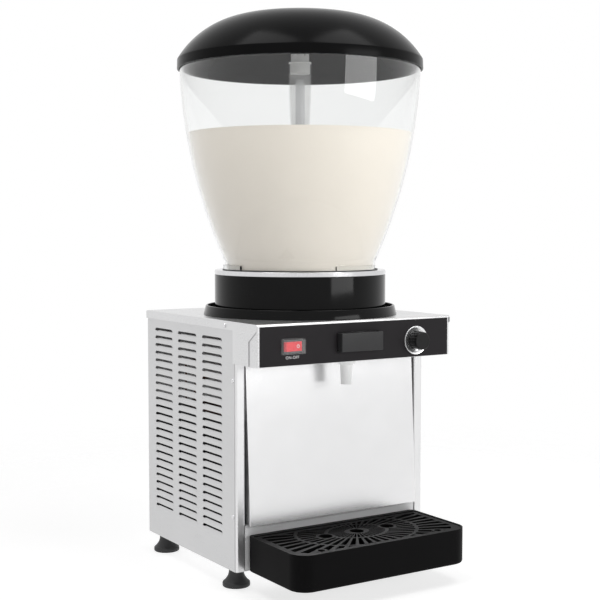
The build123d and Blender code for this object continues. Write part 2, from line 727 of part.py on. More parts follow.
def cabinet_screws():
    screws = []
    for cut_y, cut_z, face in (
        *[(POST_Y + SIDE_SCREW_INSET, z, HALF) for z in SIDE_SCREW_HEIGHTS],
        (PANEL_Y + COVER_SCREW_SETBACK, CABINET_TOP - COVER_SKIRT / 2 - SHEET / 2, COVER_HALF),
    ):
        screw = rod_x(SCREW_RADIUS, (face - SCREW_LENGTH, face), cut_y, cut_z)
        head = rod_x(SCREW_HEAD_RADIUS, (face, face + SCREW_HEAD_HEIGHT), cut_y, cut_z)
        head = fillet(head.edges().group_by(Axis.X)[-1], SCREW_HEAD_HEIGHT / 2)
        screws += [screw + head, mirror(screw + head, Plane.YZ)]
    for x, z in rear_screw_places():
        screw = rod_y(SCREW_RADIUS, (REAR_Y - SCREW_LENGTH, REAR_Y), x, z)
        head = rod_y(SCREW_HEAD_RADIUS, (REAR_Y, REAR_Y + SCREW_HEAD_HEIGHT), x, z)
        screws.append(screw + fillet(head.edges().group_by(Axis.Y)[-1], SCREW_HEAD_HEIGHT / 2))
    return screws


# Feet
def foot(x, y):
    neck_z = FOOT_HEIGHT - FOOT_NECK_HEIGHT
    pad = turned(
        (0, 0),
        (FOOT_RADIUS - FOOT_EDGE, 0),
        (FOOT_RADIUS, FOOT_EDGE),
        (FOOT_RADIUS, FOOT_PAD - FOOT_EDGE),
        (FOOT_RADIUS - FOOT_EDGE, FOOT_PAD),
        (FOOT_NECK_RADIUS, neck_z),
        (FOOT_NECK_RADIUS, FOOT_HEIGHT),
        (STUD_RADIUS, FOOT_HEIGHT),
        (STUD_RADIUS, PAN_TOP + NUT_HEIGHT + STUD_SPARE),
        (0, PAN_TOP + NUT_HEIGHT + STUD_SPARE),
        y=0.0,
    )
    return Pos(x, y, 0) * pad


# Drip tray
def tray_outline(inset, rear):
    width = TRAY_WIDTH - 2 * inset
    front = TRAY_FRONT + inset
    shape = Pos(0, (front + rear) / 2) * Rectangle(width, rear - front)
    corners = shape.vertices().sort_by(Axis.Y)
    shape = fillet(corners[:2], TRAY_CORNER - inset)
    rear_corners = shape.vertices().group_by(Axis.Y)[-1]
    return fillet(rear_corners, max(TRAY_REAR_CORNER - inset, FIT))


def tray_prism(inset, rear, z):
    return Pos(0, 0, z[0]) * extrude(tray_outline(inset, rear), z[1] - z[0])


def drip_tray():
    """A moulded tray. Its thick rear wall runs under the splash sheet, and the grille lies in front of it."""
    tray = tray_prism(0.0, TRAY_REAR, (FOOT_HEIGHT, TRAY_TOP))
    tray = fillet(tray.edges().group_by(Axis.Z)[0], TRAY_EDGE)
    seat_z = TRAY_TOP - GRILLE_DROP - GRILLE_THICK
    tray -= tray_prism(TRAY_WALL, GRILLE_REAR + SLIDE, (seat_z, TRAY_TOP + GRILLE_THICK))
    well = TRAY_WALL + TRAY_LEDGE
    tray -= tray_prism(well, GRILLE_REAR + SLIDE - TRAY_LEDGE, (FOOT_HEIGHT + TRAY_WALL, seat_z))
    deep = (PEG_FRONT - SLIDE, TRAY_REAR + TRAY_WALL)
    tray -= [rod_y(PEG_RADIUS + FIT, deep, side * PEG_X, PEG_Z) for side in (-1, 1)]
    return tray


def grille_slots():
    """Radial slots in elliptic rings: each is a four-sided opening that widens outwards."""
    half_step = pi / GRILLE_SPOKES * GRILLE_OPEN
    slots = []
    for spoke in range(GRILLE_SPOKES):
        middle = 2 * pi * (spoke + 0.5) / GRILLE_SPOKES
        for near, far in GRILLE_RINGS:
            corners = []
            for reach, turn in ((near, -1), (far, -1), (far, 1), (near, 1)):
                angle = middle + turn * half_step
                corners.append((reach * cos(angle), reach * GRILLE_SQUASH * sin(angle)))
            slots.append(make_face(Polyline(*corners, close=True)))
    return slots


def tray_grille():
    middle_y = TRAY_FRONT + GRILLE_MIDDLE
    edge = TRAY_WALL + SLIDE
    plate = tray_outline(edge, GRILLE_REAR)
    field = tray_outline(edge + GRILLE_BORDER, GRILLE_REAR - GRILLE_BORDER)
    holes = [Pos(side * GRILLE_HOLE_PITCH, middle_y) for side in (-1, 0, 1)]
    slots = Pos(0, middle_y) * (Sketch() + grille_slots())
    slots &= field
    slots -= [hole * Circle(GRILLE_HOLE + GRILLE_HOLE_RIM) for hole in holes]
    peep_y = TRAY_FRONT + edge + GRILLE_BORDER + GRILLE_PEEP
    peeps = [Pos(side * GRILLE_PEEP_X, peep_y) for side in (-1, 1)]
    slots -= [peep * Circle(GRILLE_PEEP + GRILLE_HOLE_RIM) for peep in peeps]
    plate -= slots
    plate -= [hole * Circle(GRILLE_HOLE) for hole in holes]
    plate -= [peep * Circle(GRILLE_PEEP) for peep in peeps]
    return Pos(0, 0, TRAY_TOP - GRILLE_DROP - GRILLE_THICK) * extrude(plate, GRILLE_THICK)


# Basin and drum
def evaporator_basin():
    basin = turned(
        (0, BASIN_UNDER),
        (BASIN_OUTER, BASIN_UNDER),
        (BASIN_OUTER, RIM_TOP_Z - SHEET),
        (BAND_RADIUS - SHEET, RIM_TOP_Z - SHEET),
        (BAND_RADIUS - SHEET, RIM_LOW_Z),
        (BAND_RADIUS, RIM_LOW_Z),
        (BAND_RADIUS, RIM_TOP_Z - SHEET),
        (BAND_RADIUS - SHEET, RIM_TOP_Z),
        (BASIN_RADIUS, RIM_TOP_Z),
        (BASIN_RADIUS, BASIN_Z),
        (PIN_RADIUS, BASIN_Z),
        (PIN_RADIUS, PUMP_TOP - 2 * PUMP_WALL),
        (0, PUMP_TOP - 2 * PUMP_WALL),
    )
    return basin - rod(OUTLET_RADIUS + FIT, (BASIN_UNDER - SHEET, BASIN_Z + SHEET), y=OUTLET_Y)


def drum_band():
    return ring(BAND_RADIUS - BAND_WALL, BAND_RADIUS, (CABINET_TOP, RIM_LOW_Z))


def condensate_gutter():
    top = CABINET_TOP + GUTTER_HEIGHT
    return turned(
        (BAND_RADIUS + FIT, CABINET_TOP),
        (GUTTER_RADIUS, CABINET_TOP),
        (GUTTER_TOP_RADIUS, top),
        (GUTTER_TOP_RADIUS - GUTTER_WALL, top),
        (GUTTER_RADIUS - GUTTER_WALL - GUTTER_WALL / 2, CABINET_TOP + GUTTER_WALL),
        (BAND_RADIUS + FIT, CABINET_TOP + GUTTER_WALL),
    )


def bowl_gasket():
    inner = BOWL_NECK_RADIUS + FIT
    outer = BASIN_RADIUS - FIT
    return turned(
        (inner, RIM_TOP_Z - GASKET_DEPTH),
        (outer, RIM_TOP_Z - GASKET_DEPTH),
        (outer, RIM_TOP_Z),
        (outer + GASKET_LIP, RIM_TOP_Z),
        (outer + GASKET_LIP, LUG_Z),
        (inner, LUG_Z),
    )


def basin_foam():
    z = (CABINET_TOP, BASIN_UNDER)
    foam = ring(DRIVE_HOLE, BASIN_OUTER, z)
    return foam - rod(OUTLET_RADIUS + FIT, (z[0] - SHEET, z[1] + SHEET), y=OUTLET_Y)


def coil_point(angle, z):
    return Vector(COIL_RADIUS * cos(angle), BOWL_Y + COIL_RADIUS * sin(angle), z)


def evaporator_coil():
    """One tube that passes round the basin, turns back in a hairpin and returns, pass above pass."""
    axis = Axis((0, BOWL_Y, 0), (0, 0, 1))
    left = COIL_END_ANGLE
    right = pi - COIL_END_ANGLE
    coil = None
    for layer in range(COIL_PASSES):
        z = COIL_LOW_Z + layer * COIL_PITCH
        start = Plane(coil_point(left, z), x_dir=(0, 0, 1), z_dir=(-sin(left), cos(left), 0))
        turn = revolve(start * Circle(COIL_TUBE), axis, 360 - COIL_GAP)
        coil = turn if coil is None else coil + turn
        if layer == COIL_PASSES - 1:
            break
        end, heading = (right, 1) if layer % 2 == 0 else (left, -1)
        mouth = Plane(coil_point(end, z), x_dir=(0, 0, 1), z_dir=(-sin(end), cos(end), 0))
        hairpin_axis = Axis(coil_point(end, z + COIL_PITCH / 2), (heading * cos(end), heading * sin(end), 0))
        coil += revolve(mouth * Circle(COIL_TUBE), hairpin_axis, 180)
    return coil


def coil_lead(reach):
    """A point beyond the coil's left end, along its tangent."""
    end = coil_point(COIL_END_ANGLE, 0)
    return (end.X + reach * sin(COIL_END_ANGLE), end.Y - reach * cos(COIL_END_ANGLE))


# Bowl and lid
def bowl():
    neck_low = RIM_TOP_Z - BOWL_NECK_DEPTH
    flare = CABINET_TOP + BOWL_FLARE
    waist = CABINET_TOP + BOWL_WAIST

    def flank(inset):
        return ThreePointArc(
            (BOWL_NECK_RADIUS - inset, flare),
            (BOWL_WAIST_RADIUS - inset, waist),
            (BOWL_TOP_RADIUS - inset, BOWL_TOP_Z),
        )

    inner = BOWL_NECK_RADIUS - BOWL_WALL
    shell = turned(
        Line((inner, neck_low), (BOWL_NECK_RADIUS, neck_low)),
        Line((BOWL_NECK_RADIUS, neck_low), (BOWL_NECK_RADIUS, flare)),
        flank(0.0),
        Line((BOWL_TOP_RADIUS, BOWL_TOP_Z), (BOWL_TOP_RADIUS - BOWL_WALL, BOWL_TOP_Z)),
        flank(BOWL_WALL),
        Line((inner, flare), (inner, neck_low)),
    )
    for lug in range(LUG_COUNT):
        shell += turned(
            (BOWL_NECK_RADIUS - BOWL_WALL / 2, LUG_Z),
            (LUG_RADIUS, LUG_Z),
            (LUG_RADIUS, LUG_Z + LUG_HEIGHT),
            (BOWL_NECK_RADIUS - BOWL_WALL / 2, LUG_Z + LUG_HEIGHT),
            arc=LUG_SPAN,
            start=LUG_START + lug * 360 / LUG_COUNT,
        )
    return shell


def lid():
    lip_low = BOWL_TOP_Z - LID_LIP_DROP
    crease = lip_low + LID_LIP_HEIGHT
    apex = crease + LID_HEIGHT

    def crown(inset):
        """Half of the domed top: a large crown that runs into a rounded shoulder."""
        radius = LID_CROWN_RADIUS - inset
        shoulder = LID_SHOULDER - inset
        slope = asin(shoulder / radius)
        middle = slope / 2
        top = apex - inset
        edge = (shoulder, top - radius * (1 - cos(slope)))
        arc = ThreePointArc((0, top), (radius * sin(middle), top - radius * (1 - cos(middle))), edge)
        return arc, TangentArc(edge, (LID_RADIUS - inset, crease), tangent=(cos(slope), -sin(slope)))

    seat_high = BOWL_TOP_Z + LID_SEAT_THICK
    lip_inner = LID_LIP_RADIUS - LID_LIP_WALL
    crown_out, shoulder_out = crown(0.0)
    crown_in, shoulder_in = crown(LID_WALL)
    rib_outer = BOWL_TOP_RADIUS - BOWL_WALL - 2 * SLIDE
    rib_inner = rib_outer - LID_RIB_WALL
    return turned(
        crown_out,
        shoulder_out,
        Line((LID_RADIUS, crease), (LID_LIP_RADIUS, lip_low)),
        Line((LID_LIP_RADIUS, lip_low), (lip_inner, lip_low)),
        Line((lip_inner, lip_low), (lip_inner, BOWL_TOP_Z)),
        Line((lip_inner, BOWL_TOP_Z), (rib_outer, BOWL_TOP_Z)),
        Line((rib_outer, BOWL_TOP_Z), (rib_outer, BOWL_TOP_Z - LID_RIB_DEPTH)),
        Line((rib_outer, BOWL_TOP_Z - LID_RIB_DEPTH), (rib_inner, BOWL_TOP_Z - LID_RIB_DEPTH)),
        Line((rib_inner, BOWL_TOP_Z - LID_RIB_DEPTH), (rib_inner, seat_high)),
        Line((rib_inner, seat_high), (LID_RADIUS - LID_WALL, seat_high)),
        Line((LID_RADIUS - LID_WALL, seat_high), (LID_RADIUS - LID_WALL, crease)),
        shoulder_in,
        crown_in,
        Line((0, apex - LID_WALL), (0, apex)),
    )


# Spray riser
def riser_tube():
    z = (PUMP_TOP, CABINET_TOP + RISER_TOP)
    return ring(RISER_RADIUS - RISER_WALL, RISER_RADIUS, z)


def spray_sleeve():
    low = NECK_TOP
    taper_low = CABINET_TOP + SLEEVE_TAPER_LOW
    taper_high = CABINET_TOP + SLEEVE_TAPER_HIGH
    top = CABINET_TOP + SLEEVE_TOP
    return turned(
        (SLEEVE_RADIUS - SLEEVE_WALL, low),
        (SLEEVE_RADIUS, low),
        (SLEEVE_RADIUS, taper_low),
        (SLEEVE_TOP_RADIUS, taper_high),
        (SLEEVE_TOP_RADIUS, top),
        (SLEEVE_TOP_RADIUS - SLEEVE_WALL, top),
        (SLEEVE_TOP_RADIUS - SLEEVE_WALL, taper_high),
        (SLEEVE_RADIUS - SLEEVE_WALL, taper_low),
    )


def spray_cap():
    seat = CABINET_TOP + SLEEVE_TOP
    plug = SLEEVE_TOP_RADIUS - SLEEVE_WALL - FIT
    top = seat + CAP_HEIGHT
    cap = turned(
        (plug - CAP_WALL, seat - CAP_PLUG),
        (plug, seat - CAP_PLUG),
        (plug, seat),
        (SLEEVE_TOP_RADIUS, seat),
        (SLEEVE_TOP_RADIUS, seat + CAP_FLANGE),
        (CAP_RADIUS, seat + CAP_FLANGE),
        (CAP_RADIUS, top - CAP_WALL),
        (CAP_RADIUS - CAP_WALL, top),
        (0, top),
        (0, top - CAP_WALL),
        (CAP_RADIUS - CAP_WALL, top - CAP_WALL),
        (CAP_RADIUS - CAP_WALL, seat),
        (plug - CAP_WALL, seat - CAP_WALL),
    )
    jet_z = (seat + CAP_FLANGE + top) / 2
    for jet in range(CAP_JETS):
        hole = rod_x(CAP_JET, (0, 2 * CAP_RADIUS), 0, jet_z)
        cap -= Pos(0, BOWL_Y, 0) * Rotation(0, 0, jet * 360 / CAP_JETS) * hole
    return cap


# Spray pump and drive
def pump_housing():
    cavity = PUMP_RADIUS - PUMP_WALL
    cavity_top = PUMP_TOP - PUMP_WALL
    housing = turned(
        (cavity, BASIN_Z),
        (PUMP_RADIUS, BASIN_Z),
        (PUMP_RADIUS, PUMP_TOP - PUMP_WALL),
        (PUMP_RADIUS - PUMP_WALL, PUMP_TOP),
        (PUMP_NECK_RADIUS, PUMP_TOP),
        (PUMP_NECK_RADIUS, NECK_TOP),
        (RISER_RADIUS + RUNNING, NECK_TOP),
        (RISER_RADIUS + RUNNING, PUMP_TOP),
        (RISER_RADIUS - RISER_WALL, PUMP_TOP),
        (RISER_RADIUS - RISER_WALL, cavity_top),
        (cavity, cavity_top),
    )
    window_z = (BASIN_Z + PUMP_WALL, BASIN_Z + PUMP_WALL + PUMP_WINDOW_HEIGHT)
    half = PUMP_WINDOW_WIDTH / 2
    for window in range(PUMP_WINDOWS):
        cut = block((cavity - PUMP_WALL, PUMP_RADIUS + PUMP_WALL), (-half, half), window_z)
        housing -= Pos(0, BOWL_Y, 0) * Rotation(0, 0, window * 360 / PUMP_WINDOWS) * cut
    return housing


def pump_impeller():
    low = BASIN_Z + FIT
    disc_top = low + IMPELLER_DISC
    vane_top = disc_top + IMPELLER_VANE
    impeller = rod(IMPELLER_RADIUS, (low, disc_top), y=BOWL_Y)
    impeller += rod(IMPELLER_HUB, (disc_top, vane_top), y=BOWL_Y)
    for vane in range(IMPELLER_VANES):
        blade = block(
            (IMPELLER_HUB - IMPELLER_VANE_WALL, IMPELLER_RADIUS - IMPELLER_VANE_WALL),
            (-IMPELLER_VANE_WALL / 2, IMPELLER_VANE_WALL / 2),
            (disc_top, vane_top),
        )
        impeller += Pos(0, BOWL_Y, 0) * Rotation(0, 0, vane * 360 / IMPELLER_VANES) * blade
    return impeller - rod(PIN_RADIUS + RUNNING, (low - SHEET, vane_top + SHEET), y=BOWL_Y)


def drive_magnet():
    magnet = rod(MAGNET_RADIUS, (MAGNET_TOP - MAGNET_HEIGHT, MAGNET_TOP), y=BOWL_Y)
    return magnet + rod(DRIVE_SHAFT_RADIUS, (MOTOR_TOP - SHAFT_SUNK + FIT, MAGNET_TOP), y=BOWL_Y)


def motor_bracket():
    half = BRACKET_SIDE / 2
    plate = block((-half, half), (BOWL_Y - half, BOWL_Y + half), (MOTOR_TOP, MOTOR_TOP + BRACKET_THICK))
    for x in (PILLAR_INSET - half, half - PILLAR_INSET):
        for y in (PILLAR_INSET - half, half - PILLAR_INSET):
            plate += rod(PILLAR_RADIUS, (MOTOR_TOP, UNDER_COVER), x, BOWL_Y + y)
    return plate - rod(DRIVE_SHAFT_RADIUS + FIT, (MOTOR_TOP - SHEET, UNDER_COVER), y=BOWL_Y)


def agitator_motor():
    motor = rod(MOTOR_RADIUS, (MOTOR_TOP - MOTOR_HEIGHT, MOTOR_TOP), y=BOWL_Y)
    motor = fillet(motor.edges().group_by(Axis.Z)[0], FOLD)
    return motor - rod(DRIVE_SHAFT_RADIUS + RUNNING, (MOTOR_TOP - SHAFT_SUNK, MOTOR_TOP + SHEET), y=BOWL_Y)


# Tap
def valve_body():
    front, rear = PANEL_Y + VALVE_FRONT, PANEL_Y + VALVE_REAR
    seat, seat_end = PANEL_Y + VALVE_SEAT, PANEL_Y + VALVE_SEAT + VALVE_SEAT_THICK
    body = rod_y(VALVE_RADIUS, (front, rear), 0, TAP_HEIGHT)
    body += rod(INLET_BOSS_RADIUS, (TAP_HEIGHT, INLET_TOP), y=OUTLET_Y)
    body += rod(VALVE_NECK, (HEAD_Z + SHEET, TAP_HEIGHT), y=TAP_Y)
    body += turned(
        (0, SPOUT_Z),
        (SPOUT_RADIUS, SPOUT_Z),
        (SPOUT_ROOT_RADIUS, HEAD_Z),
        (SPOUT_ROOT_RADIUS, TAP_HEIGHT),
        (0, TAP_HEIGHT),
        y=TAP_Y,
    )
    body -= rod_y(STEM_RADIUS + RUNNING, (front - SHEET, seat), 0, TAP_HEIGHT)
    body -= rod_y(VALVE_BORE, (front + VALVE_GLAND, seat), 0, TAP_HEIGHT)
    body -= rod_y(VALVE_SEAT_BORE, (seat, seat_end), 0, TAP_HEIGHT)
    body -= rod_y(VALVE_BORE + FIT, (seat_end, rear + SHEET), 0, TAP_HEIGHT)
    body -= rod(SPOUT_BORE, (SPOUT_Z - SHEET, TAP_HEIGHT), y=TAP_Y)
    body -= rod(OUTLET_BORE, (TAP_HEIGHT, INLET_TOP), y=OUTLET_Y)
    body -= rod(OUTLET_RADIUS + RUNNING, (INLET_TOP - INLET_SOCKET, INLET_TOP + SHEET), y=OUTLET_Y)
    return body


def valve_cap():
    rear = PANEL_Y + VALVE_REAR
    cap = rod_y(VALVE_RADIUS, (rear, rear + VALVE_CAP_THICK), 0, TAP_HEIGHT)
    return cap + rod_y(VALVE_BORE, (rear - VALVE_CAP_PLUG, rear), 0, TAP_HEIGHT)


def spout_collar():
    collar = turned(
        (SPOUT_ROOT_RADIUS + FIT, HEAD_Z - COLLAR_HEIGHT),
        (SPOUT_ROOT_RADIUS + 2 * FIT + SHEET, HEAD_Z - COLLAR_HEIGHT),
        (COLLAR_RADIUS, HEAD_Z - SHEET),
        (COLLAR_RADIUS, HEAD_Z),
        (SPOUT_ROOT_RADIUS + FIT, HEAD_Z),
        y=TAP_Y,
    )
    return collar


def outlet_pipe():
    low, high = INLET_TOP - INLET_SOCKET, BASIN_Z + OUTLET_FLANGE_THICK
    outlet = rod(OUTLET_RADIUS, (low, high), y=OUTLET_Y)
    outlet += rod(OUTLET_FLANGE, (BASIN_Z, high), y=OUTLET_Y)
    return outlet - rod(OUTLET_BORE, (low - SHEET, high + SHEET), y=OUTLET_Y)


def valve_stem():
    seat_end = PANEL_Y + VALVE_SEAT + VALVE_SEAT_THICK
    stem = rod_y(STEM_RADIUS, (PANEL_Y + PUSH_SUNK, seat_end), 0, TAP_HEIGHT)
    return stem + rod_y(PISTON_RADIUS, (seat_end, seat_end + PISTON_THICK), 0, TAP_HEIGHT)


def valve_spring():
    start = PANEL_Y + VALVE_SEAT + VALVE_SEAT_THICK + PISTON_THICK + SPRING_WIRE + FIT
    end = PANEL_Y + VALVE_REAR - VALVE_CAP_PLUG - SPRING_WIRE - FIT
    length = end - start
    path = Helix(length / SPRING_TURNS, length, SPRING_RADIUS)
    coil = sweep(Plane(path @ 0, z_dir=path % 0) * Circle(SPRING_WIRE), path)
    return Pos(0, start, TAP_HEIGHT) * Rotation(-90, 0, 0) * coil


def push_block():
    shape = block(
        (-PUSH_WIDTH / 2, PUSH_WIDTH / 2),
        (PANEL_Y - PUSH_PROUD, PANEL_Y + PUSH_SUNK),
        (TAP_HEIGHT - PUSH_HEIGHT / 2, TAP_HEIGHT + PUSH_HEIGHT / 2),
    )
    rounded = shape.edges().group_by(Axis.Y)[0] + edges_along(shape, Axis.Y)
    return fillet(rounded, PUSH_EDGE)


# Switch
def switch_body():
    half_w, half_h = SWITCH_WIDTH / 2, SWITCH_HEIGHT / 2
    body = block(
        (SWITCH_X - half_w, SWITCH_X + half_w),
        (PANEL_Y - SWITCH_BEZEL_THICK, PANEL_Y + SWITCH_DEPTH),
        (SWITCH_Z - half_h, SWITCH_Z + half_h),
    )
    body += block(
        (SWITCH_X - half_w - SWITCH_BEZEL, SWITCH_X + half_w + SWITCH_BEZEL),
        (PANEL_Y - SWITCH_BEZEL_THICK, PANEL_Y),
        (SWITCH_Z - half_h - SWITCH_BEZEL, SWITCH_Z + half_h + SWITCH_BEZEL),
    )
    body -= block(
        (SWITCH_X - half_w + SWITCH_WALL, SWITCH_X + half_w - SWITCH_WALL),
        (PANEL_Y - 2 * SWITCH_BEZEL_THICK, PANEL_Y + SWITCH_FLOOR),
        (SWITCH_Z - half_h + SWITCH_WALL, SWITCH_Z + half_h - SWITCH_WALL),
    )
    pivot_z = (SWITCH_Z - SWITCH_HEIGHT, SWITCH_Z + SWITCH_HEIGHT)
    return body - rod(ROCKER_PIN + RUNNING, pivot_z, SWITCH_X, PANEL_Y + ROCKER_PIVOT)


def rocker():
    """The rocker as it rests: tilted about its pin, its right end pressed in."""
    half_w = SWITCH_WIDTH / 2 - SWITCH_WALL - ROCKER_PLAY
    half_h = SWITCH_HEIGHT / 2 - SWITCH_WALL - FIT
    profile = Polyline(
        (-half_w, ROCKER_SUNK),
        (-half_w, -ROCKER_TIP),
        (0, -ROCKER_CROWN),
        (half_w, -ROCKER_TIP),
        (half_w, ROCKER_SUNK),
        (0, ROCKER_PIVOT + ROCKER_PIN + SWITCH_WALL),
        close=True,
    )
    shape = Pos(0, -ROCKER_PIVOT, -half_h) * extrude(make_face(profile), 2 * half_h)
    pin_reach = SWITCH_HEIGHT / 2 - FIT
    shape += rod(ROCKER_PIN, (-pin_reach, pin_reach))
    return Pos(SWITCH_X, PANEL_Y + ROCKER_PIVOT, SWITCH_Z) * Rotation(0, 0, ROCKER_TILT) * shape


def switch_hood():
    """A soft clear hood over the switch: a drafted shell, open at the panel."""
    def shell(inset, depth):
        face = RectangleRounded(HOOD_WIDTH - 2 * inset, HOOD_HEIGHT - 2 * inset, FOLD)
        return extrude(face, depth, taper=HOOD_DRAFT)

    hood = shell(0.0, HOOD_DEPTH) - shell(HOOD_WALL, HOOD_DEPTH - HOOD_WALL)
    return Pos(SWITCH_X, PANEL_Y, SWITCH_Z) * Rotation(90, 0, 0) * hood


# Thermostat
def thermostat_body():
    front = FASCIA_Y + SHEET
    body = block(
        (KNOB_X - THERMOSTAT_WIDTH / 2, KNOB_X + THERMOSTAT_WIDTH / 2),
        (front, front + THERMOSTAT_DEPTH),
        (KNOB_Z - THERMOSTAT_HEIGHT / 2, KNOB_Z + THERMOSTAT_HEIGHT / 2),
    )
    body = fillet(edges_along(body, Axis.Y), FOLD)
    bore = (front - SHEET, front + THERMOSTAT_SHAFT)
    return body - rod_y(KNOB_SHAFT_RADIUS + RUNNING, bore, KNOB_X, KNOB_Z)


def knob_dish():
    return turned_front([
        (SHAFT_HOLE, 0.0),
        (DISH_RADIUS, 0.0),
        (DISH_RADIUS, DISH_DEPTH),
        (DISH_RADIUS - DISH_RIM, DISH_DEPTH),
        (DISH_FLOOR_RADIUS, DISH_FLOOR),
        (SHAFT_HOLE, DISH_FLOOR),
    ], KNOB_X, KNOB_Z)


def thermostat_knob():
    low = DISH_FLOOR + FIT
    skirt = low + KNOB_SKIRT_THICK
    knob = turned_front([
        (0.0, low),
        (KNOB_SKIRT_RADIUS, low),
        (KNOB_SKIRT_RADIUS, skirt),
        (KNOB_RADIUS, skirt),
        (KNOB_TOP_RADIUS, KNOB_REACH - KNOB_GRIP),
        (KNOB_TOP_RADIUS - KNOB_GRIP, KNOB_REACH),
        (0.0, KNOB_REACH),
    ], KNOB_X, KNOB_Z)
    shaft_end = FASCIA_Y + SHEET + THERMOSTAT_SHAFT - FIT
    knob += rod_y(KNOB_SHAFT_RADIUS, (PANEL_Y - skirt, shaft_end), KNOB_X, KNOB_Z)
    flute = rod_y(KNOB_GRIP, (PANEL_Y - 2 * KNOB_REACH, PANEL_Y - skirt), 0, KNOB_RADIUS)
    centre = Pos(KNOB_X, 0, KNOB_Z)
    return knob - [centre * Rotation(0, grip * 360 / KNOB_GRIPS, 0) * flute for grip in range(KNOB_GRIPS)]


# Refrigeration
def mount_places():
    half_x, half_y = COMPRESSOR_FOOT_X / 2 - MOUNT_INSET, COMPRESSOR_FOOT_Y / 2 - MOUNT_INSET
    return [(COMPRESSOR_X + sx * half_x, COMPRESSOR_Y + sy * half_y) for sx in (-1, 1) for sy in (-1, 1)]


def compressor():
    shell_low = COMPRESSOR_FOOT_Z + COMPRESSOR_FOOT
    shell = rod(COMPRESSOR_RADIUS, (shell_low, COMPRESSOR_TOP), COMPRESSOR_X, COMPRESSOR_Y)
    shell = fillet(shell.edges().group_by(Axis.Z)[-1], COMPRESSOR_DOME)
    plate = block(
        (COMPRESSOR_X - COMPRESSOR_FOOT_X / 2, COMPRESSOR_X + COMPRESSOR_FOOT_X / 2),
        (COMPRESSOR_Y - COMPRESSOR_FOOT_Y / 2, COMPRESSOR_Y + COMPRESSOR_FOOT_Y / 2),
        (COMPRESSOR_FOOT_Z, shell_low),
    )
    for x, y in mount_places():
        plate -= rod(BOLT_RADIUS + FIT, (PAN_TOP, COMPRESSOR_TOP), x, y)
    return shell + plate


def compressor_mounts():
    z = (PAN_TOP, COMPRESSOR_FOOT_Z)
    return [rod(MOUNT_RADIUS, z, x, y) - rod(BOLT_RADIUS + FIT, z, x, y) for x, y in mount_places()]


def compressor_bolts():
    head_z = COMPRESSOR_FOOT_Z + COMPRESSOR_FOOT
    bolts = []
    for x, y in mount_places():
        head = rod(BOLT_HEAD_RADIUS, (head_z, head_z + BOLT_HEAD_HEIGHT), x, y)
        bolts.append(head + rod(BOLT_RADIUS, (PAN_TOP, head_z), x, y))
    return bolts


def condenser():
    """One soldered unit: fins on both faces of a core, end plates, and the tube's bends at the rear."""
    pack = block(
        (CONDENSER_X, CONDENSER_INNER), (CONDENSER_FRONT, CONDENSER_REAR), (CONDENSER_Z, CONDENSER_TOP)
    )
    middle = (CONDENSER_X + CONDENSER_INNER) / 2
    pitch = CONDENSER_LENGTH / CONDENSER_FINS
    gaps = []
    for fin in range(CONDENSER_FINS):
        y = CONDENSER_FRONT + (fin + 0.5) * pitch
        gap = (y - CONDENSER_FIN_GAP / 2, y + CONDENSER_FIN_GAP / 2)
        inside = (CONDENSER_Z + CONDENSER_FIN_GAP, CONDENSER_TOP - CONDENSER_FIN_GAP)
        gaps.append(block((CONDENSER_X - SHEET, middle - CONDENSER_CORE), gap, inside))
        gaps.append(block((middle + CONDENSER_CORE, CONDENSER_INNER + SHEET), gap, inside))
    pack -= gaps
    frame_y = (CONDENSER_FRONT - FRAME_SHEET, CONDENSER_REAR + FRAME_SHEET)
    pack += block((CONDENSER_X, CONDENSER_INNER), frame_y, (PAN_TOP, CONDENSER_Z))
    for y in ((frame_y[0], CONDENSER_FRONT), (CONDENSER_REAR, frame_y[1])):
        pack += block((CONDENSER_X, CONDENSER_INNER), y, (CONDENSER_Z, CONDENSER_TOP))
    return pack + condenser_bends()


def condenser_bends():
    """The hairpins of the condenser's tube, outside the frame at the rear."""
    x = (CONDENSER_X + CONDENSER_INNER) / 2
    y = CONDENSER_REAR + FRAME_SHEET
    bends = []
    for bend in range(BEND_COUNT):
        low = CONDENSER_Z + BEND_PITCH / 2 + bend * BEND_PITCH
        mouth = Plane((x, y, low), x_dir=(1, 0, 0), z_dir=(0, 1, 0))
        axis = Axis((x, y, low + BEND_PITCH / 4), (1, 0, 0))
        bends.append(revolve(mouth * Circle(BEND_TUBE), axis, 180))
    return bends


def fan_shroud():
    plate = block(
        (CONDENSER_INNER, SHROUD_X),
        (CONDENSER_FRONT - FRAME_SHEET, CONDENSER_REAR + FRAME_SHEET),
        (PAN_TOP, CONDENSER_TOP),
    )
    return plate - rod_x(SHROUD_HOLE, (CONDENSER_INNER - SHEET, SHROUD_X + SHEET), FAN_Y, FAN_Z)


def fan_motor():
    end = FAN_MOTOR_X + FAN_MOTOR_LENGTH
    motor = rod_x(FAN_MOTOR_RADIUS, (FAN_MOTOR_X, end), FAN_Y, FAN_Z)
    motor = fillet(motor.edges().group_by(Axis.X)[-1], FOLD)
    bore = (FAN_MOTOR_X - SHEET, FAN_MOTOR_X + FAN_SHAFT_SUNK)
    return motor - rod_x(FAN_SHAFT + RUNNING, bore, FAN_Y, FAN_Z)


def fan_pedestal():
    middle = FAN_MOTOR_X + FAN_MOTOR_LENGTH / 2
    x = (middle - PEDESTAL_LENGTH / 2, middle + PEDESTAL_LENGTH / 2)
    pedestal = block(x, (FAN_Y - PEDESTAL_WIDTH / 2, FAN_Y + PEDESTAL_WIDTH / 2), (PAN_TOP, FAN_Z))
    return pedestal - rod_x(FAN_MOTOR_RADIUS + FIT, (x[0] - SHEET, x[1] + SHEET), FAN_Y, FAN_Z)


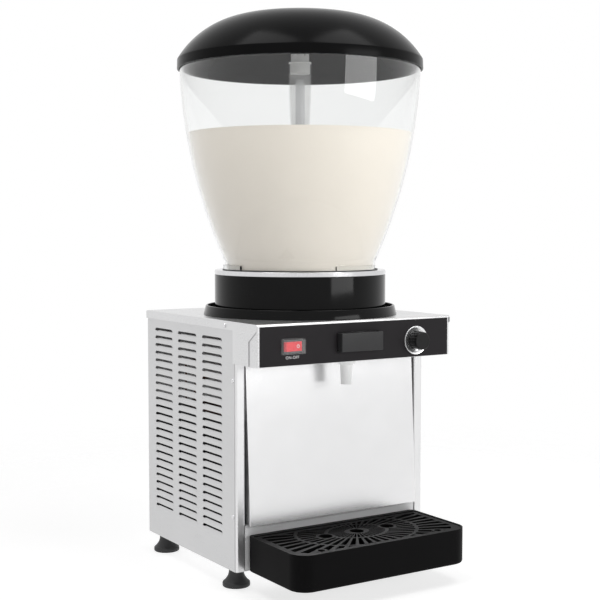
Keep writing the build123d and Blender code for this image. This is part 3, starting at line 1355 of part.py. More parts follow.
def fan_blade():
    hub_end = FAN_X + FAN_HUB_LENGTH
    fan = rod_x(FAN_HUB, (FAN_X, hub_end), 0, 0)
    middle = (FAN_X + hub_end) / 2
    half_width, half_thick = FAN_BLADE_WIDTH / 2, FAN_BLADE_THICK / 2
    root = sqrt(FAN_HUB ** 2 - (half_width * sin(radians(FAN_PITCH))) ** 2) / 2
    plate = block((-half_thick, half_thick), (-half_width, half_width), (root, FAN_RADIUS))
    plate = Pos(middle, 0, 0) * Rotation(0, 0, 90 - FAN_PITCH) * plate
    reach = rod_x(FAN_RADIUS, (FAN_X - FAN_GAP / 2, hub_end + FAN_MOTOR_GAP / 2), 0, 0)
    for blade in range(FAN_BLADES):
        fan += Rotation(blade * 360 / FAN_BLADES, 0, 0) * (plate & reach)
    fan += rod_x(FAN_SHAFT, (hub_end, FAN_MOTOR_X + FAN_SHAFT_SUNK - FIT), 0, 0)
    return Pos(0, FAN_Y, FAN_Z) * fan


def filter_drier():
    can = rod_y(DRIER_RADIUS, (DRIER_FRONT, DRIER_FRONT + DRIER_LENGTH), DRIER_X, DRIER_Z)
    can = fillet(can.edges(), DRIER_RADIUS / 2)
    return can + pipe([
        (DRIER_X, DRIER_FRONT, DRIER_Z),
        (DRIER_X, DRIER_FRONT - LIQUID_LEAD, DRIER_Z),
        (DRIER_X, DRIER_FRONT - LIQUID_LEAD, CONDENSER_TOP),
    ], SHORT_BEND, LINE_RADIUS)


def discharge_line():
    x = CONDENSER_INNER - DISCHARGE_INSET
    return pipe([
        (COMPRESSOR_X, COMPRESSOR_Y, COMPRESSOR_TOP),
        (COMPRESSOR_X, COMPRESSOR_Y, DISCHARGE_SHELF),
        (x, COMPRESSOR_Y, DISCHARGE_SHELF),
        (x, COMPRESSOR_Y, CONDENSER_TOP),
    ], LINE_BEND, LINE_RADIUS)


def capillary_tube():
    x, y = coil_lead(COIL_LEAD)
    end = coil_point(COIL_END_ANGLE, COIL_LOW_Z)
    shelf_y = DRIER_FRONT + DRIER_LENGTH + 2 * LINE_BEND
    return pipe([
        (DRIER_X, DRIER_FRONT + DRIER_LENGTH, DRIER_Z),
        (DRIER_X, shelf_y, DRIER_Z),
        (DRIER_X, shelf_y, LINE_SHELF),
        (x, y, LINE_SHELF),
        (x, y, COIL_LOW_Z),
        (end.X, end.Y, COIL_LOW_Z),
    ], SHORT_BEND, CAPILLARY_RADIUS)


def suction_line():
    x, y = coil_lead(COIL_LEAD_LONG)
    end = coil_point(COIL_END_ANGLE, COIL_HIGH_Z)
    port = COMPRESSOR_X - SUCTION_PORT
    return pipe([
        (port, COMPRESSOR_Y, COMPRESSOR_TOP),
        (port, COMPRESSOR_Y, SUCTION_SHELF),
        (x, y, SUCTION_SHELF),
        (x, y, COIL_HIGH_Z),
        (end.X, end.Y, COIL_HIGH_Z),
    ], SUCTION_RADIUS + SHORT_BEND, SUCTION_RADIUS)


def export(shape, node):
    solids = shape if isinstance(shape, list) else [shape]
    whole = solids[0] if len(solids) == 1 else Compound(children=solids)
    export_step(whole, f"parts/{node}.step")


PIECES = {
    "base_pan": base_pan,
    "splash_sheet": splash_sheet,
    "lower_rail": lower_rail,
    "rear_panel": rear_panel,
    "cable_gland": cable_gland,
    "terminal_box": terminal_box,
    "top_cover": top_cover,
    "front_fascia": front_fascia,
    "control_panel": control_panel,
    "drip_tray": drip_tray,
    "tray_grille": tray_grille,
    "evaporator_basin": evaporator_basin,
    "drum_band": drum_band,
    "condensate_gutter": condensate_gutter,
    "bowl_gasket": bowl_gasket,
    "basin_foam": basin_foam,
    "evaporator_coil": evaporator_coil,
    "bowl": bowl,
    "lid": lid,
    "riser_tube": riser_tube,
    "spray_sleeve": spray_sleeve,
    "spray_cap": spray_cap,
    "pump_housing": pump_housing,
    "pump_impeller": pump_impeller,
    "drive_magnet": drive_magnet,
    "motor_bracket": motor_bracket,
    "agitator_motor": agitator_motor,
    "valve_body": valve_body,
    "valve_cap": valve_cap,
    "spout_collar": spout_collar,
    "outlet_pipe": outlet_pipe,
    "valve_stem": valve_stem,
    "valve_spring": valve_spring,
    "push_block": push_block,
    "switch_body": switch_body,
    "rocker": rocker,
    "switch_hood": switch_hood,
    "thermostat_body": thermostat_body,
    "knob_dish": knob_dish,
    "thermostat_knob": thermostat_knob,
    "compressor": compressor,
    "compressor_mounts": compressor_mounts,
    "condenser": condenser,
    "fan_shroud": fan_shroud,
    "fan_motor": fan_motor,
    "fan_pedestal": fan_pedestal,
    "fan_blade": fan_blade,
    "filter_drier": filter_drier,
    "discharge_line": discharge_line,
    "capillary_tube": capillary_tube,
    "suction_line": suction_line,
}

os.makedirs("parts", exist_ok=True)
export(cabinet_screws() + compressor_bolts(), "fasteners")
for node, make in PIECES.items():
    export(make(), node)
for side, panel in both_sides(side_panel()).items():
    export(panel, f"side_panel_{side}")
for side, post in both_sides(front_post()).items():
    export(post, f"front_post_{side}")
for corner, (foot_x, foot_y) in FOOT_PLACES.items():
    export(foot(foot_x, foot_y), f"foot_{corner}")
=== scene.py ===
import json
from math import asin, cos, pi, radians, sin

import bmesh
import bpy
from mathutils import Matrix, Vector

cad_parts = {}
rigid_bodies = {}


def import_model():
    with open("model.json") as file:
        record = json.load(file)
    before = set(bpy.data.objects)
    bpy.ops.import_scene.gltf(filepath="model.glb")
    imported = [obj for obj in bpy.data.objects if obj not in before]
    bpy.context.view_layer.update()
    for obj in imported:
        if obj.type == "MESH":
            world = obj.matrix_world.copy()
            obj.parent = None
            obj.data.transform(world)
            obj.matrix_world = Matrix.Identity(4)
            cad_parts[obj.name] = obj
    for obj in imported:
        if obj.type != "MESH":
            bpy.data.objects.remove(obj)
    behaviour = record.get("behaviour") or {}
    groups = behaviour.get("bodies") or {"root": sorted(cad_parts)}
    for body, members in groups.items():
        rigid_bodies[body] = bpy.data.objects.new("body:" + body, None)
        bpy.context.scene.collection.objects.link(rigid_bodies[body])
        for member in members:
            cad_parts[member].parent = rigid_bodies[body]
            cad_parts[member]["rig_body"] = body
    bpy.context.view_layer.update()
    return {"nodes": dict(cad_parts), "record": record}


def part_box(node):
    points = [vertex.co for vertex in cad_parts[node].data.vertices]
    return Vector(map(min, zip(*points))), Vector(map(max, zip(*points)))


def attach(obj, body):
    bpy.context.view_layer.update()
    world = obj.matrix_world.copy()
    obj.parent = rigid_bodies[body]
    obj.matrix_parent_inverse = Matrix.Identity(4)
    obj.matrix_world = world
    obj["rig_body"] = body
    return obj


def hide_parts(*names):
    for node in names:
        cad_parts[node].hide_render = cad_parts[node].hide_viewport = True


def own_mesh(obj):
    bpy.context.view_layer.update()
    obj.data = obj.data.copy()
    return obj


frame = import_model()
bpy.context.scene.view_settings.view_transform = "Standard"


# Base pan
# The floor of the cabinet, a shallow pan folded from satin stainless sheet.
# The walls are screwed to its flanges and the cooling works stand on it.
def place(tree, kind, inputs, **settings):
    """Adds a shader node. An input is a value, or the output socket that feeds it."""
    node = tree.nodes.new("ShaderNode" + kind)
    for setting, value in settings.items():
        setattr(node, setting, value)
    for label, value in inputs.items():
        if isinstance(value, bpy.types.NodeSocket):
            tree.links.new(value, node.inputs[label])
        else:
            node.inputs[label].default_value = value
    return node


def surface_group(name, haze_size, detail):
    """A shader group for a worked surface: a fine grain, stretched as asked, under a broad haze."""
    group = bpy.data.node_groups.new(name, "ShaderNodeTree")
    for label, kind in (("Grain", "Vector"), ("Dark", "Color"), ("Pale", "Color"), ("Smooth", "Float"),
                        ("Rough", "Float")):
        group.interface.new_socket(label, in_out="INPUT", socket_type="NodeSocket" + kind)
    for label, kind in (("Color", "Color"), ("Roughness", "Float"), ("Height", "Float")):
        group.interface.new_socket(label, in_out="OUTPUT", socket_type="NodeSocket" + kind)
    given = group.nodes.new("NodeGroupInput").outputs
    result = group.nodes.new("NodeGroupOutput").inputs
    where = place(group, "TexCoord", {}).outputs["Object"]
    stretched = place(group, "Mapping", {"Vector": where, "Scale": given["Grain"]}).outputs["Vector"]
    grain = place(group, "TexNoise", {"Vector": stretched, "Scale": 1.0, "Detail": detail}).outputs["Fac"]
    haze = place(group, "TexNoise", {"Vector": where, "Scale": 1 / haze_size, "Detail": 3.0}).outputs["Fac"]
    both = place(group, "Math", {0: grain, 1: haze}, operation="ADD").outputs["Value"]
    share = place(group, "MapRange", {"Value": both, "From Min": 0.7, "From Max": 1.3}).outputs["Result"]
    colour = place(group, "MixRGB", {"Fac": share, "Color1": given["Dark"], "Color2": given["Pale"]})
    rough = place(group, "MapRange", {"Value": share, "To Min": given["Smooth"], "To Max": given["Rough"]})
    group.links.new(colour.outputs["Color"], result["Color"])
    group.links.new(rough.outputs["Result"], result["Roughness"])
    group.links.new(grain, result["Height"])
    return group


def finished(name, group, grain, dark, pale, smooth, rough, relief, **sockets):
    """A material with the colour, roughness and relief of a surface group; relief is in metres."""
    material = bpy.data.materials.new(name)
    material.use_nodes = True
    tree = material.node_tree
    shader = tree.nodes["Principled BSDF"]
    for label, value in sockets.items():
        shader.inputs[label.replace("_", " ")].default_value = value
    surface = place(tree, "Group", {
        "Grain": grain, "Dark": (*dark, 1.0), "Pale": (*pale, 1.0), "Smooth": smooth, "Rough": rough,
    }, node_tree=group)
    bump = place(tree, "Bump", {"Height": surface.outputs["Height"], "Strength": 0.5, "Distance": relief})
    tree.links.new(surface.outputs["Color"], shader.inputs["Base Color"])
    tree.links.new(surface.outputs["Roughness"], shader.inputs["Roughness"])
    tree.links.new(bump.outputs["Normal"], shader.inputs["Normal"])
    return material


def dress(material, *nodes):
    """Gives CAD nodes that keep their shape a finished material."""
    for node in nodes:
        for slot in frame["nodes"][node].material_slots:
            slot.material = material


brushed_grain = surface_group("brushed grain", 0.12, 2.0)
across_steel = finished("satin stainless, grain across", brushed_grain, (25, 1400, 1400),
                        (0.66, 0.66, 0.665), (0.70, 0.70, 0.705), 0.25, 0.31, 0.000004, Metallic=0.9)
dress(across_steel, "base_pan")


# Levelling feet
# Black rubber pads with a dished underside, moulded round threaded studs.
# They screw up into the base pan, so each one turns to level the cabinet.
weld = 0.000002


def turned(outline, centre, steps, closed=True):
    """Spins an outline of (radius, height) corners round an upright axis. A third number rounds a corner."""
    bm = bmesh.new()
    corners = [bm.verts.new((row[0], 0.0, row[1])) for row in outline]
    for start, end in zip(corners, corners[1:]):
        bm.edges.new((start, end))
    if closed:
        bm.edges.new((corners[-1], corners[0]))
    for corner, row in zip(corners, outline):
        if len(row) == 3:
            bmesh.ops.bevel(bm, geom=[corner], offset=row[2], segments=4, profile=0.5, affect="VERTICES",
                            material=-1)
    bmesh.ops.spin(bm, geom=bm.verts[:] + bm.edges[:], cent=(0, 0, 0), axis=(0, 0, 1), angle=2 * pi,
                   steps=steps, use_merge=True)
    bmesh.ops.remove_doubles(bm, verts=bm.verts, dist=weld)
    bmesh.ops.recalc_face_normals(bm, faces=bm.faces)
    bmesh.ops.translate(bm, verts=bm.verts, vec=centre)
    return bm


def piece(name, bm, material, body, slot, *nodes, crease=35):
    """Makes a mesh a piece that rides on a body, with a finish, in place of the nodes it stands for."""
    mesh = bpy.data.meshes.new(name)
    bm.to_mesh(mesh)
    bm.free()
    mesh.shade_smooth()
    mesh.set_sharp_from_angle(angle=radians(crease))
    mesh.materials.append(material)
    obj = bpy.data.objects.new(name, mesh)
    bpy.context.scene.collection.objects.link(obj)
    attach(obj, body)
    if nodes:
        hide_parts(*nodes)
    return obj


moulded_skin = surface_group("moulded skin", 0.05, 4.0)
foot_rubber = finished("foot rubber", moulded_skin, (1500, 1500, 1500),
                       (0.010, 0.010, 0.011), (0.020, 0.020, 0.021), 0.45, 0.62, 0.00006)
dish_radius, tread_radius, dish_depth = 0.0140, 0.0150, 0.0012
pad_radius, crest_radius, waist_radius, collar_radius, stud_radius = 0.0215, 0.0185, 0.0130, 0.0115, 0.0040
pad_height, crest_height, waist_height, collar_height, collar_top = 0.0070, 0.0086, 0.0160, 0.0225, 0.0320
tread_round, pad_round, crest_round, waist_round = 0.0006, 0.0020, 0.0015, 0.0030
for corner in ("front_left", "front_right", "rear_left", "rear_right"):
    low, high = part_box(f"foot_{corner}")
    outline = [
        (0.0, dish_depth), (dish_radius, dish_depth, tread_round), (tread_radius, 0.0, tread_round),
        (pad_radius, 0.0, pad_round), (pad_radius, pad_height, pad_round),
        (crest_radius, crest_height, crest_round), (waist_radius, waist_height, waist_round),
        (collar_radius, collar_height, crest_round), (collar_radius, collar_top),
        (stud_radius, collar_top), (stud_radius, high.z), (0.0, high.z),
    ]
    foot = turned(outline, ((low.x + high.x) / 2, (low.y + high.y) / 2, 0.0), steps=64, closed=False)
    piece(f"foot_{corner}_pad", foot, foot_rubber, f"foot_{corner}", "foot_rubber", f"foot_{corner}")


# Cooling works
# Compressor, finned condenser and fan on the base pan, joined by brazed copper lines.
# Enamelled steel, tarnished copper, zinc-plated sheet and rubber. The copper and zinc colours are part
# tarnish, part painted shade that keeps them dark behind the louvres.
black_enamel = finished("black enamel", moulded_skin, (260, 260, 260),
                        (0.010, 0.010, 0.011), (0.018, 0.018, 0.019), 0.28, 0.42, 0.00003)
# Copper and zinc: some tarnish, darkened further with painted shade.
copper = finished("tarnished copper tube, painted shade", brushed_grain, (300, 300, 300),
                  (0.10, 0.045, 0.030), (0.17, 0.080, 0.052), 0.35, 0.50, 0.00002, Metallic=1.0)
zinc_sheet = finished("zinc plated sheet, dulled and painted shade", moulded_skin, (90, 90, 90),
                      (0.06, 0.06, 0.065), (0.10, 0.10, 0.105), 0.40, 0.55, 0.00002, Metallic=1.0)
plain_black = finished("black moulding", moulded_skin, (1100, 1100, 1100),
                       (0.012, 0.012, 0.013), (0.021, 0.021, 0.022), 0.36, 0.50, 0.00004)
seal_rubber = finished("seal rubber", moulded_skin, (700, 700, 700),
                       (0.030, 0.030, 0.031), (0.050, 0.050, 0.050), 0.50, 0.66, 0.00004)
slot_finishes = {"black_enamel": black_enamel, "copper": copper, "zinc_sheet": zinc_sheet,
                 "plain_black": plain_black, "seal_rubber": seal_rubber}
for row in frame["record"]["subparts"]:
    if row["material_slot"] in slot_finishes:
        dress(slot_finishes[row["material_slot"]], row["node"])
dress(zinc_sheet, "motor_bracket")


# Cabinet walls
# Louvred sides, front posts and rear panel, folded from satin stainless sheet and screwed together.
# The louvres are pressed inward under curved cuts. The grain runs along each sheet; the insides are painted
# near black as shade.
fold_angle = 28


def softened(node, width, material):
    """A copy of a CAD node with its sharp edges rounded, which stands for the node."""
    source = frame["nodes"][node]
    bm = bmesh.new()
    bm.from_mesh(source.data)
    bmesh.ops.remove_doubles(bm, verts=bm.verts, dist=weld)
    bmesh.ops.dissolve_limit(bm, angle_limit=radians(0.1), verts=bm.verts, edges=bm.edges)
    slot = next(row["material_slot"] for row in frame["record"]["subparts"] if row["node"] == node)
    obj = piece(f"{node}_finished", bm, material, source["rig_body"], slot, node, crease=fold_angle)
    bevel = obj.modifiers.new("rounded edges", "BEVEL")
    bevel.width = width
    bevel.segments = 2
    bevel.limit_method = "ANGLE"
    bevel.angle_limit = radians(fold_angle)
    bevel.harden_normals = True


along_steel = finished("satin stainless, grain along", brushed_grain, (1400, 25, 1400),
                       (0.58, 0.58, 0.585), (0.62, 0.62, 0.625), 0.27, 0.33, 0.000004, Metallic=0.9)
# The posts are the same stainless as the sides, painted lighter as the light they catch from the front.
upright_steel_painted_light = finished("satin stainless, grain upright, painted lighter as light", brushed_grain, (1400, 1400, 25),
                         (0.74, 0.74, 0.745), (0.77, 0.77, 0.775), 0.27, 0.33, 0.000004, Metallic=0.9)
# The insides of the sheets are painted near black: painted shade that shows through the louvre cuts.
painted_shade_inside = finished("inner face, painted shade", moulded_skin, (300, 300, 300),
                        (0.010, 0.010, 0.010), (0.016, 0.016, 0.016), 0.5, 0.7, 0.00002)
wall_face, wall_sheet, wall_return, pan_top = 0.17775, 0.0010, 0.0120, 0.0330
louvre_length, louvre_height, louvre_depth = 0.0645, 0.0120, 0.0026
louvre_margin, louvre_corner = 0.0042, 0.0046
rear_column, column_pitch, column_count = 0.1570, 0.0835, 3
top_row, row_pitch, row_count = 0.3854, 0.01295, 24
louvre_columns = [rear_column - column_pitch * column for column in range(column_count)]
louvre_tops = [top_row - row_pitch * row for row in range(row_count)]


def louvre_of(face):
    """The top of the louvre that a face of the sheet belongs to, or None."""
    middle = face.calc_center_bounds()
    in_column = any(abs(middle.y - column) < louvre_length / 2 for column in louvre_columns)
    tops = [top for top in louvre_tops if top - louvre_height < middle.z < top]
    return tops[0] if in_column and tops else None


def side_wall(name, outward):
    """A side wall as one sheet, with louvres pressed inward under curved cuts."""
    low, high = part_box(name)
    sheet = bmesh.new()
    corners = [(low.y, low.z), (high.y, low.z), (high.y, high.z), (low.y, high.z)]
    sheet.faces.new([sheet.verts.new((outward * wall_face, y, z)) for y, z in corners])
    cuts = [(Vector((0, column + end * louvre_length / 2, 0)), Vector((0, 1, 0)))
            for column in louvre_columns for end in (-1, 1)]
    cuts += [(Vector((0, 0, top - drop)), Vector((0, 0, 1)))
             for top in louvre_tops for drop in (0.0, louvre_height)]
    cuts += [(Vector((0, 0, pan_top)), Vector((0, 0, 1)))]
    for point, direction in cuts:
        bmesh.ops.bisect_plane(sheet, geom=sheet.verts[:] + sheet.edges[:] + sheet.faces[:], plane_co=point,
                               plane_no=direction)
    ends = {vert for face in sheet.faces if louvre_of(face) for vert in face.verts
            if vert.co.z > louvre_of(face) - louvre_margin}
    bmesh.ops.bevel(sheet, geom=list(ends), offset=louvre_corner, segments=3, profile=0.5, affect="VERTICES",
                    material=-1)
    pressed = [face for face in sheet.faces
               if louvre_of(face) and face.calc_area() > louvre_length * louvre_height / 2]
    ring = bmesh.ops.inset_individual(sheet, faces=pressed, thickness=louvre_margin,
                                      use_even_offset=True)["faces"]
    cut = [face for face in ring if face.calc_center_bounds().z > louvre_of(face) - louvre_corner]
    for face in pressed:
        top = louvre_of(face)
        for vert in face.verts:
            rise = vert.co.z - top + louvre_height - louvre_margin
            share = rise / (louvre_height - 2 * louvre_margin)
            vert.co.x -= outward * louvre_depth * share
    bmesh.ops.delete(sheet, geom=cut, context="FACES")
    rear = [edge for edge in sheet.edges if all(vert.co.y > high.y - wall_sheet for vert in edge.verts)
            and all(vert.co.z > pan_top - wall_sheet / 2 for vert in edge.verts)]
    folded = bmesh.ops.extrude_edge_only(sheet, edges=rear)["geom"]
    bmesh.ops.translate(sheet, verts=[part for part in folded if isinstance(part, bmesh.types.BMVert)],
                        vec=(-outward * wall_return, 0, 0))
    bmesh.ops.recalc_face_normals(sheet, faces=sheet.faces)
    if sum(face.normal.x * face.calc_area() for face in sheet.faces) * outward < 0:
        bmesh.ops.reverse_faces(sheet, faces=sheet.faces)
    panel = piece(f"{name}_finished", sheet, along_steel, "cabinet", "brushed_stainless", name)
    panel.data.shade_flat()
    # The sheet's inner shell takes the painted shade.
    panel.data.materials.append(painted_shade_inside)
    gauge = panel.modifiers.new("gauge", "SOLIDIFY")
    gauge.thickness = wall_sheet
    gauge.offset = -1.0
    gauge.material_offset = 1


for side, outward in (("left", -1), ("right", 1)):
    side_wall(f"side_panel_{side}", outward)
    dress(upright_steel_painted_light, f"front_post_{side}")
softened("rear_panel", 0.0003, across_steel)


# Splash sheet
# A leaning sheet of bright polished stainless behind the cups, hooked in between the posts.
# Its polish is fine but not a mirror, so what it reflects is soft. The rail under it is satin, painted paler
# than its steel as light in its shaded recess.
bright_polish = surface_group("bright polish", 0.03, 1.0)
mirror_steel = finished("polished splash sheet", bright_polish, (5, 5, 5),
                        (0.78, 0.78, 0.785), (0.80, 0.80, 0.805), 0.20, 0.23, 0.000002, Metallic=0.9)
softened("splash_sheet", 0.0004, mirror_steel)
# The rail's pale colour is painted light that offsets the shade of its recess.
rail_steel_painted_light = finished("satin rail, painted light", bright_polish, (5, 5, 5),
                      (0.86, 0.86, 0.865), (0.88, 0.88, 0.885), 0.34, 0.40, 0.000002, Metallic=0.1)
softened("lower_rail", 0.0003, rail_steel_painted_light)


# Head
# The cover with its folded skirts and cheeks, and the fascia that closes it in front and below.
# Both are satin stainless; the drum and the bowl stand on the cover.
softened("top_cover", 0.0005, across_steel)
dress(across_steel, "front_fascia")


# Cooled basin and drum
# A spun stainless basin with a bright rolled rim, in a gloss black moulded drum on the cover.
# A gutter round the drum's foot catches the condensate; a rubber ring seals the bowl.
bright_steel = finished("bright steel", brushed_grain, (900, 900, 200),
                        (0.60, 0.60, 0.61), (0.70, 0.70, 0.71), 0.12, 0.22, 0.00001, Metallic=1.0)
foam = finished("insulating foam", moulded_skin, (350, 350, 350),
                (0.62, 0.56, 0.42), (0.72, 0.66, 0.52), 0.8, 0.95, 0.0005)
gloss_black = finished("gloss black moulding", bright_polish, (9, 9, 9),
                       (0.0030, 0.0030, 0.0032), (0.0045, 0.0045, 0.0047), 0.08, 0.12, 0.00005,
                       Specular_IOR_Level=0.12)
dress(bright_steel, "evaporator_basin", "fasteners", "riser_tube", "outlet_pipe", "valve_stem")
dress(foam, "basin_foam")
low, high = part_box("drum_band")
axis = Vector((0.0, (low.y + high.y) / 2, 0.0))
drum_radius, band_wall, edge_radius = high.x, 0.0020, 0.0012
band = turned([
    (drum_radius - band_wall, low.z), (drum_radius, low.z), (drum_radius, high.z, edge_radius),
    (drum_radius - band_wall, high.z),
], axis, steps=160)
piece("drum_band_moulding", band, gloss_black, "cabinet", "gloss_black", "drum_band")
low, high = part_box("condensate_gutter")
gutter_play, gutter_wall = 0.0003, 0.0030
gutter_bore, gutter_floor = drum_radius + gutter_play, low.z + gutter_wall
lip_outer, lip_inner, channel_radius, channel_bend = 0.1540, 0.1510, 0.1535, 0.0015
gutter = turned([
    (gutter_bore, low.z), (high.x, low.z, edge_radius), (lip_outer, high.z, edge_radius),
    (lip_inner, high.z, edge_radius), (channel_radius, gutter_floor, channel_bend),
    (gutter_bore, gutter_floor),
], axis, steps=160)
piece("condensate_gutter_moulding", gutter, gloss_black, "cabinet", "gloss_black", "condensate_gutter")


# Tap
# White food-grade mouldings: the valve with its spout, a flared collar where it leaves the head,
# and the spray pump parts of the same plastic in the basin. A steel spring closes the valve.
white_plastic = finished("white moulding", moulded_skin, (800, 800, 800),
                         (0.84, 0.845, 0.84), (0.88, 0.88, 0.875), 0.30, 0.42, 0.00003)
for row in frame["record"]["subparts"]:
    if row["material_slot"] == "white_plastic":
        dress(white_plastic, row["node"])
softened("spout_collar", 0.0004, white_plastic)
coils = bmesh.new()
coils.from_mesh(frame["nodes"]["valve_spring"].data)
bmesh.ops.remove_doubles(coils, verts=coils.verts, dist=weld)
spring = piece("valve_spring_wire", coils, bright_steel, "cabinet", "bright_steel", "valve_spring")
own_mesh(spring)


# Control panel
# A charcoal plate with a fine matt texture, let into the fascia between the cover's lips.
# The switch legend is printed on it.
charcoal = finished("charcoal panel", moulded_skin, (2200, 2200, 2200),
                    (0.0175, 0.0160, 0.0175), (0.0215, 0.0195, 0.0215), 0.40, 0.50, 0.00004,
                    Specular_IOR_Level=0.1)
softened("control_panel", 0.0003, charcoal)
panel_low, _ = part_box("control_panel")
legend_ink = finished("legend ink", moulded_skin, (1500, 1500, 1500),
                      (0.80, 0.80, 0.80), (0.86, 0.86, 0.86), 0.5, 0.6, 0.00001)
legend_curve = bpy.data.curves.new("legend", "FONT")
legend_curve.body = "ON-OFF"
legend_curve.size = 0.0062
legend_curve.space_character = 1.06
legend_curve.extrude = 0.00006
legend_curve.align_x = "CENTER"
legend_text = bpy.data.objects.new("legend text", legend_curve)
bpy.context.scene.collection.objects.link(legend_text)
legend = bmesh.new()
legend.from_mesh(bpy.data.meshes.new_from_object(legend_text))
bpy.data.objects.remove(legend_text)
switch_low, switch_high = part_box("switch_hood")
legend_height, legend_lift = 0.3602, 0.00003
legend_place = Vector(((switch_low.x + switch_high.x) / 2, panel_low.y - legend_lift, legend_height))
bmesh.ops.transform(legend, matrix=Matrix.Translation(legend_place) @ Matrix.Rotation(pi / 2, 4, "X"),
                    verts=legend.verts)
piece("switch_legend", legend, legend_ink, "cabinet", "white_plastic")


# Push block
# The wide black block that opens the tap when a cup is pressed against it.
# Moulded with a fine matt skin; it slides in the panel on the valve's stem.
push_black = finished("push block moulding", moulded_skin, (1300, 1300, 1300),
                      (0.020, 0.020, 0.021), (0.028, 0.028, 0.029), 0.34, 0.44, 0.00004,
                      Specular_IOR_Level=0.3)
softened("push_block", 0.0004, push_black)


# Switch
# A red rocker with a faint painted glow, in a black frame under a soft clear hood that keeps splashes out.
# Its right end is pressed in at rest.
# The rocker's emission is a painted glow; no lamp lights it.
red_rocker_with_painted_glow = finished("red rocker", moulded_skin, (900, 900, 900),
                      (0.70, 0.012, 0.024), (0.76, 0.018, 0.032), 0.25, 0.36, 0.00002,
                      Specular_IOR_Level=0.15, Emission_Color=(0.9, 0.035, 0.06, 1.0), Emission_Strength=0.2)
dress(red_rocker_with_painted_glow, "rocker")
rocker_low, rocker_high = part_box("rocker")
mark_inset, mark_inner, mark_outer, mark_proud = 0.0065, 0.0017, 0.0026, 0.00012
before_mark = Vector((rocker_high.x - mark_inset, -1.0, (rocker_low.z + rocker_high.z) / 2))
_, off_place, off_face, _ = frame["nodes"]["rocker"].ray_cast(before_mark, Vector((0, 1, 0)))
off_mark = turned([
    (mark_inner, 0.0), (mark_outer, 0.0), (mark_outer, mark_proud), (mark_inner, mark_proud),
], (0, 0, 0), steps=32)
off_turn = off_face.to_track_quat("Z", "Y").to_matrix().to_4x4()
bmesh.ops.transform(off_mark, matrix=Matrix.Translation(off_place) @ off_turn, verts=off_mark.verts)
piece("rocker_off_mark", off_mark, white_plastic, "rocker", "white_plastic")


def veil(material, share, tint=(1.0, 1.0, 1.0, 1.0)):
    """Lets a share of what lies behind a surface show straight through it, tinted."""
    tree = material.node_tree
    clear = place(tree, "BsdfTransparent", {"Color": tint})
    solid = tree.nodes["Principled BSDF"].outputs["BSDF"]
    mix = place(tree, "MixShader", {0: share, 1: solid, 2: clear.outputs["BSDF"]})
    tree.links.new(mix.outputs["Shader"], tree.nodes["Material Output"].inputs["Surface"])


soft_hood = finished("clear soft hood", moulded_skin, (300, 300, 300),
                     (0.94, 0.94, 0.94), (0.97, 0.97, 0.97), 0.18, 0.30, 0.0001)
veil(soft_hood, 0.92)
softened("switch_hood", 0.0005, soft_hood)


# Thermostat knob
# A fluted black knob that turns in a bright plated dish, on the thermostat's shaft.
# Both are mouldings; the dish is let into the panel.
satin_black = finished("satin black moulding", moulded_skin, (1300, 1300, 1300),
                       (0.0040, 0.0039, 0.0041), (0.0065, 0.0063, 0.0066), 0.34, 0.44, 0.00004,
                       Specular_IOR_Level=0.2)
chrome = finished("plated dish", bright_polish, (30, 30, 30),
                  (0.82, 0.82, 0.83), (0.86, 0.86, 0.87), 0.20, 0.26, 0.00002, Metallic=0.9)
softened("knob_dish", 0.0005, chrome)
softened("thermostat_knob", 0.0004, satin_black)


# Drip tray and grille
# A satin black moulded tray that pulls out on two pegs, with a slotted grille that lifts out of it.
# Spilt drink drains through the slots into the tray.
tray_black = finished("drip tray moulding", moulded_skin, (1300, 1300, 1300),
                      (0.0022, 0.0021, 0.0023), (0.0036, 0.0034, 0.0037), 0.44, 0.54, 0.00004,
                      Specular_IOR_Level=0.05)
softened("drip_tray", 0.0008, tray_black)
softened("tray_grille", 0.0005, tray_black)


# Spray riser
# A steel tube up the middle of the bowl in a smoky translucent sleeve, with a spray cap on top.
# The tube stands on the pump; the cap is plugged into the moulded sleeve.
smoky = finished("smoky sleeve", moulded_skin, (200, 200, 200),
                 (0.62, 0.62, 0.62), (0.70, 0.70, 0.70), 0.25, 0.35, 0.00005)
veil(smoky, 0.84)
softened("spray_sleeve", 0.0005, smoky)
softened("spray_cap", 0.0006, white_plastic)


# Bowl
# Clear blow-moulded bowl with a straight neck, three bayonet lugs and a plain rim.
# It stands in the basin's seal and lifts off for cleaning.
def circle_centre(first, second, third):
    """Centre of the circle through three points of an outline."""
    one, two = second - first, third - first
    turn = 2 * (one.x * two.y - one.y * two.x)
    across = (two.y * one.length_squared - one.y * two.length_squared) / turn
    up = (one.x * two.length_squared - two.x * one.length_squared) / turn
    return first + Vector((across, up))


def arc(centre, start, end, count):
    """Points of an outline from start to end, round a centre, the short way."""
    reach = start - centre
    turn = reach.angle_signed(end - centre)
    return [tuple(centre + Matrix.Rotation(-turn * step / count, 2) @ reach) for step in range(count + 1)]


bowl_low, bowl_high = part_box("bowl")
neck, neck_top, wall, rim = 0.1230, 0.4990, 0.0030, 0.1949
belly, belly_height = 0.1748, 0.6555
foot_edge, rim_edge = 0.0008, 0.0012


def flank(inset):
    """The bowl's curved side, bottom to top, set in from its outer face."""
    ends = [Vector((radius - inset, height)) for radius, height in
            ((neck, neck_top), (belly, belly_height), (rim, bowl_high.z))]
    return arc(circle_centre(*ends), ends[0], ends[2], count=40)


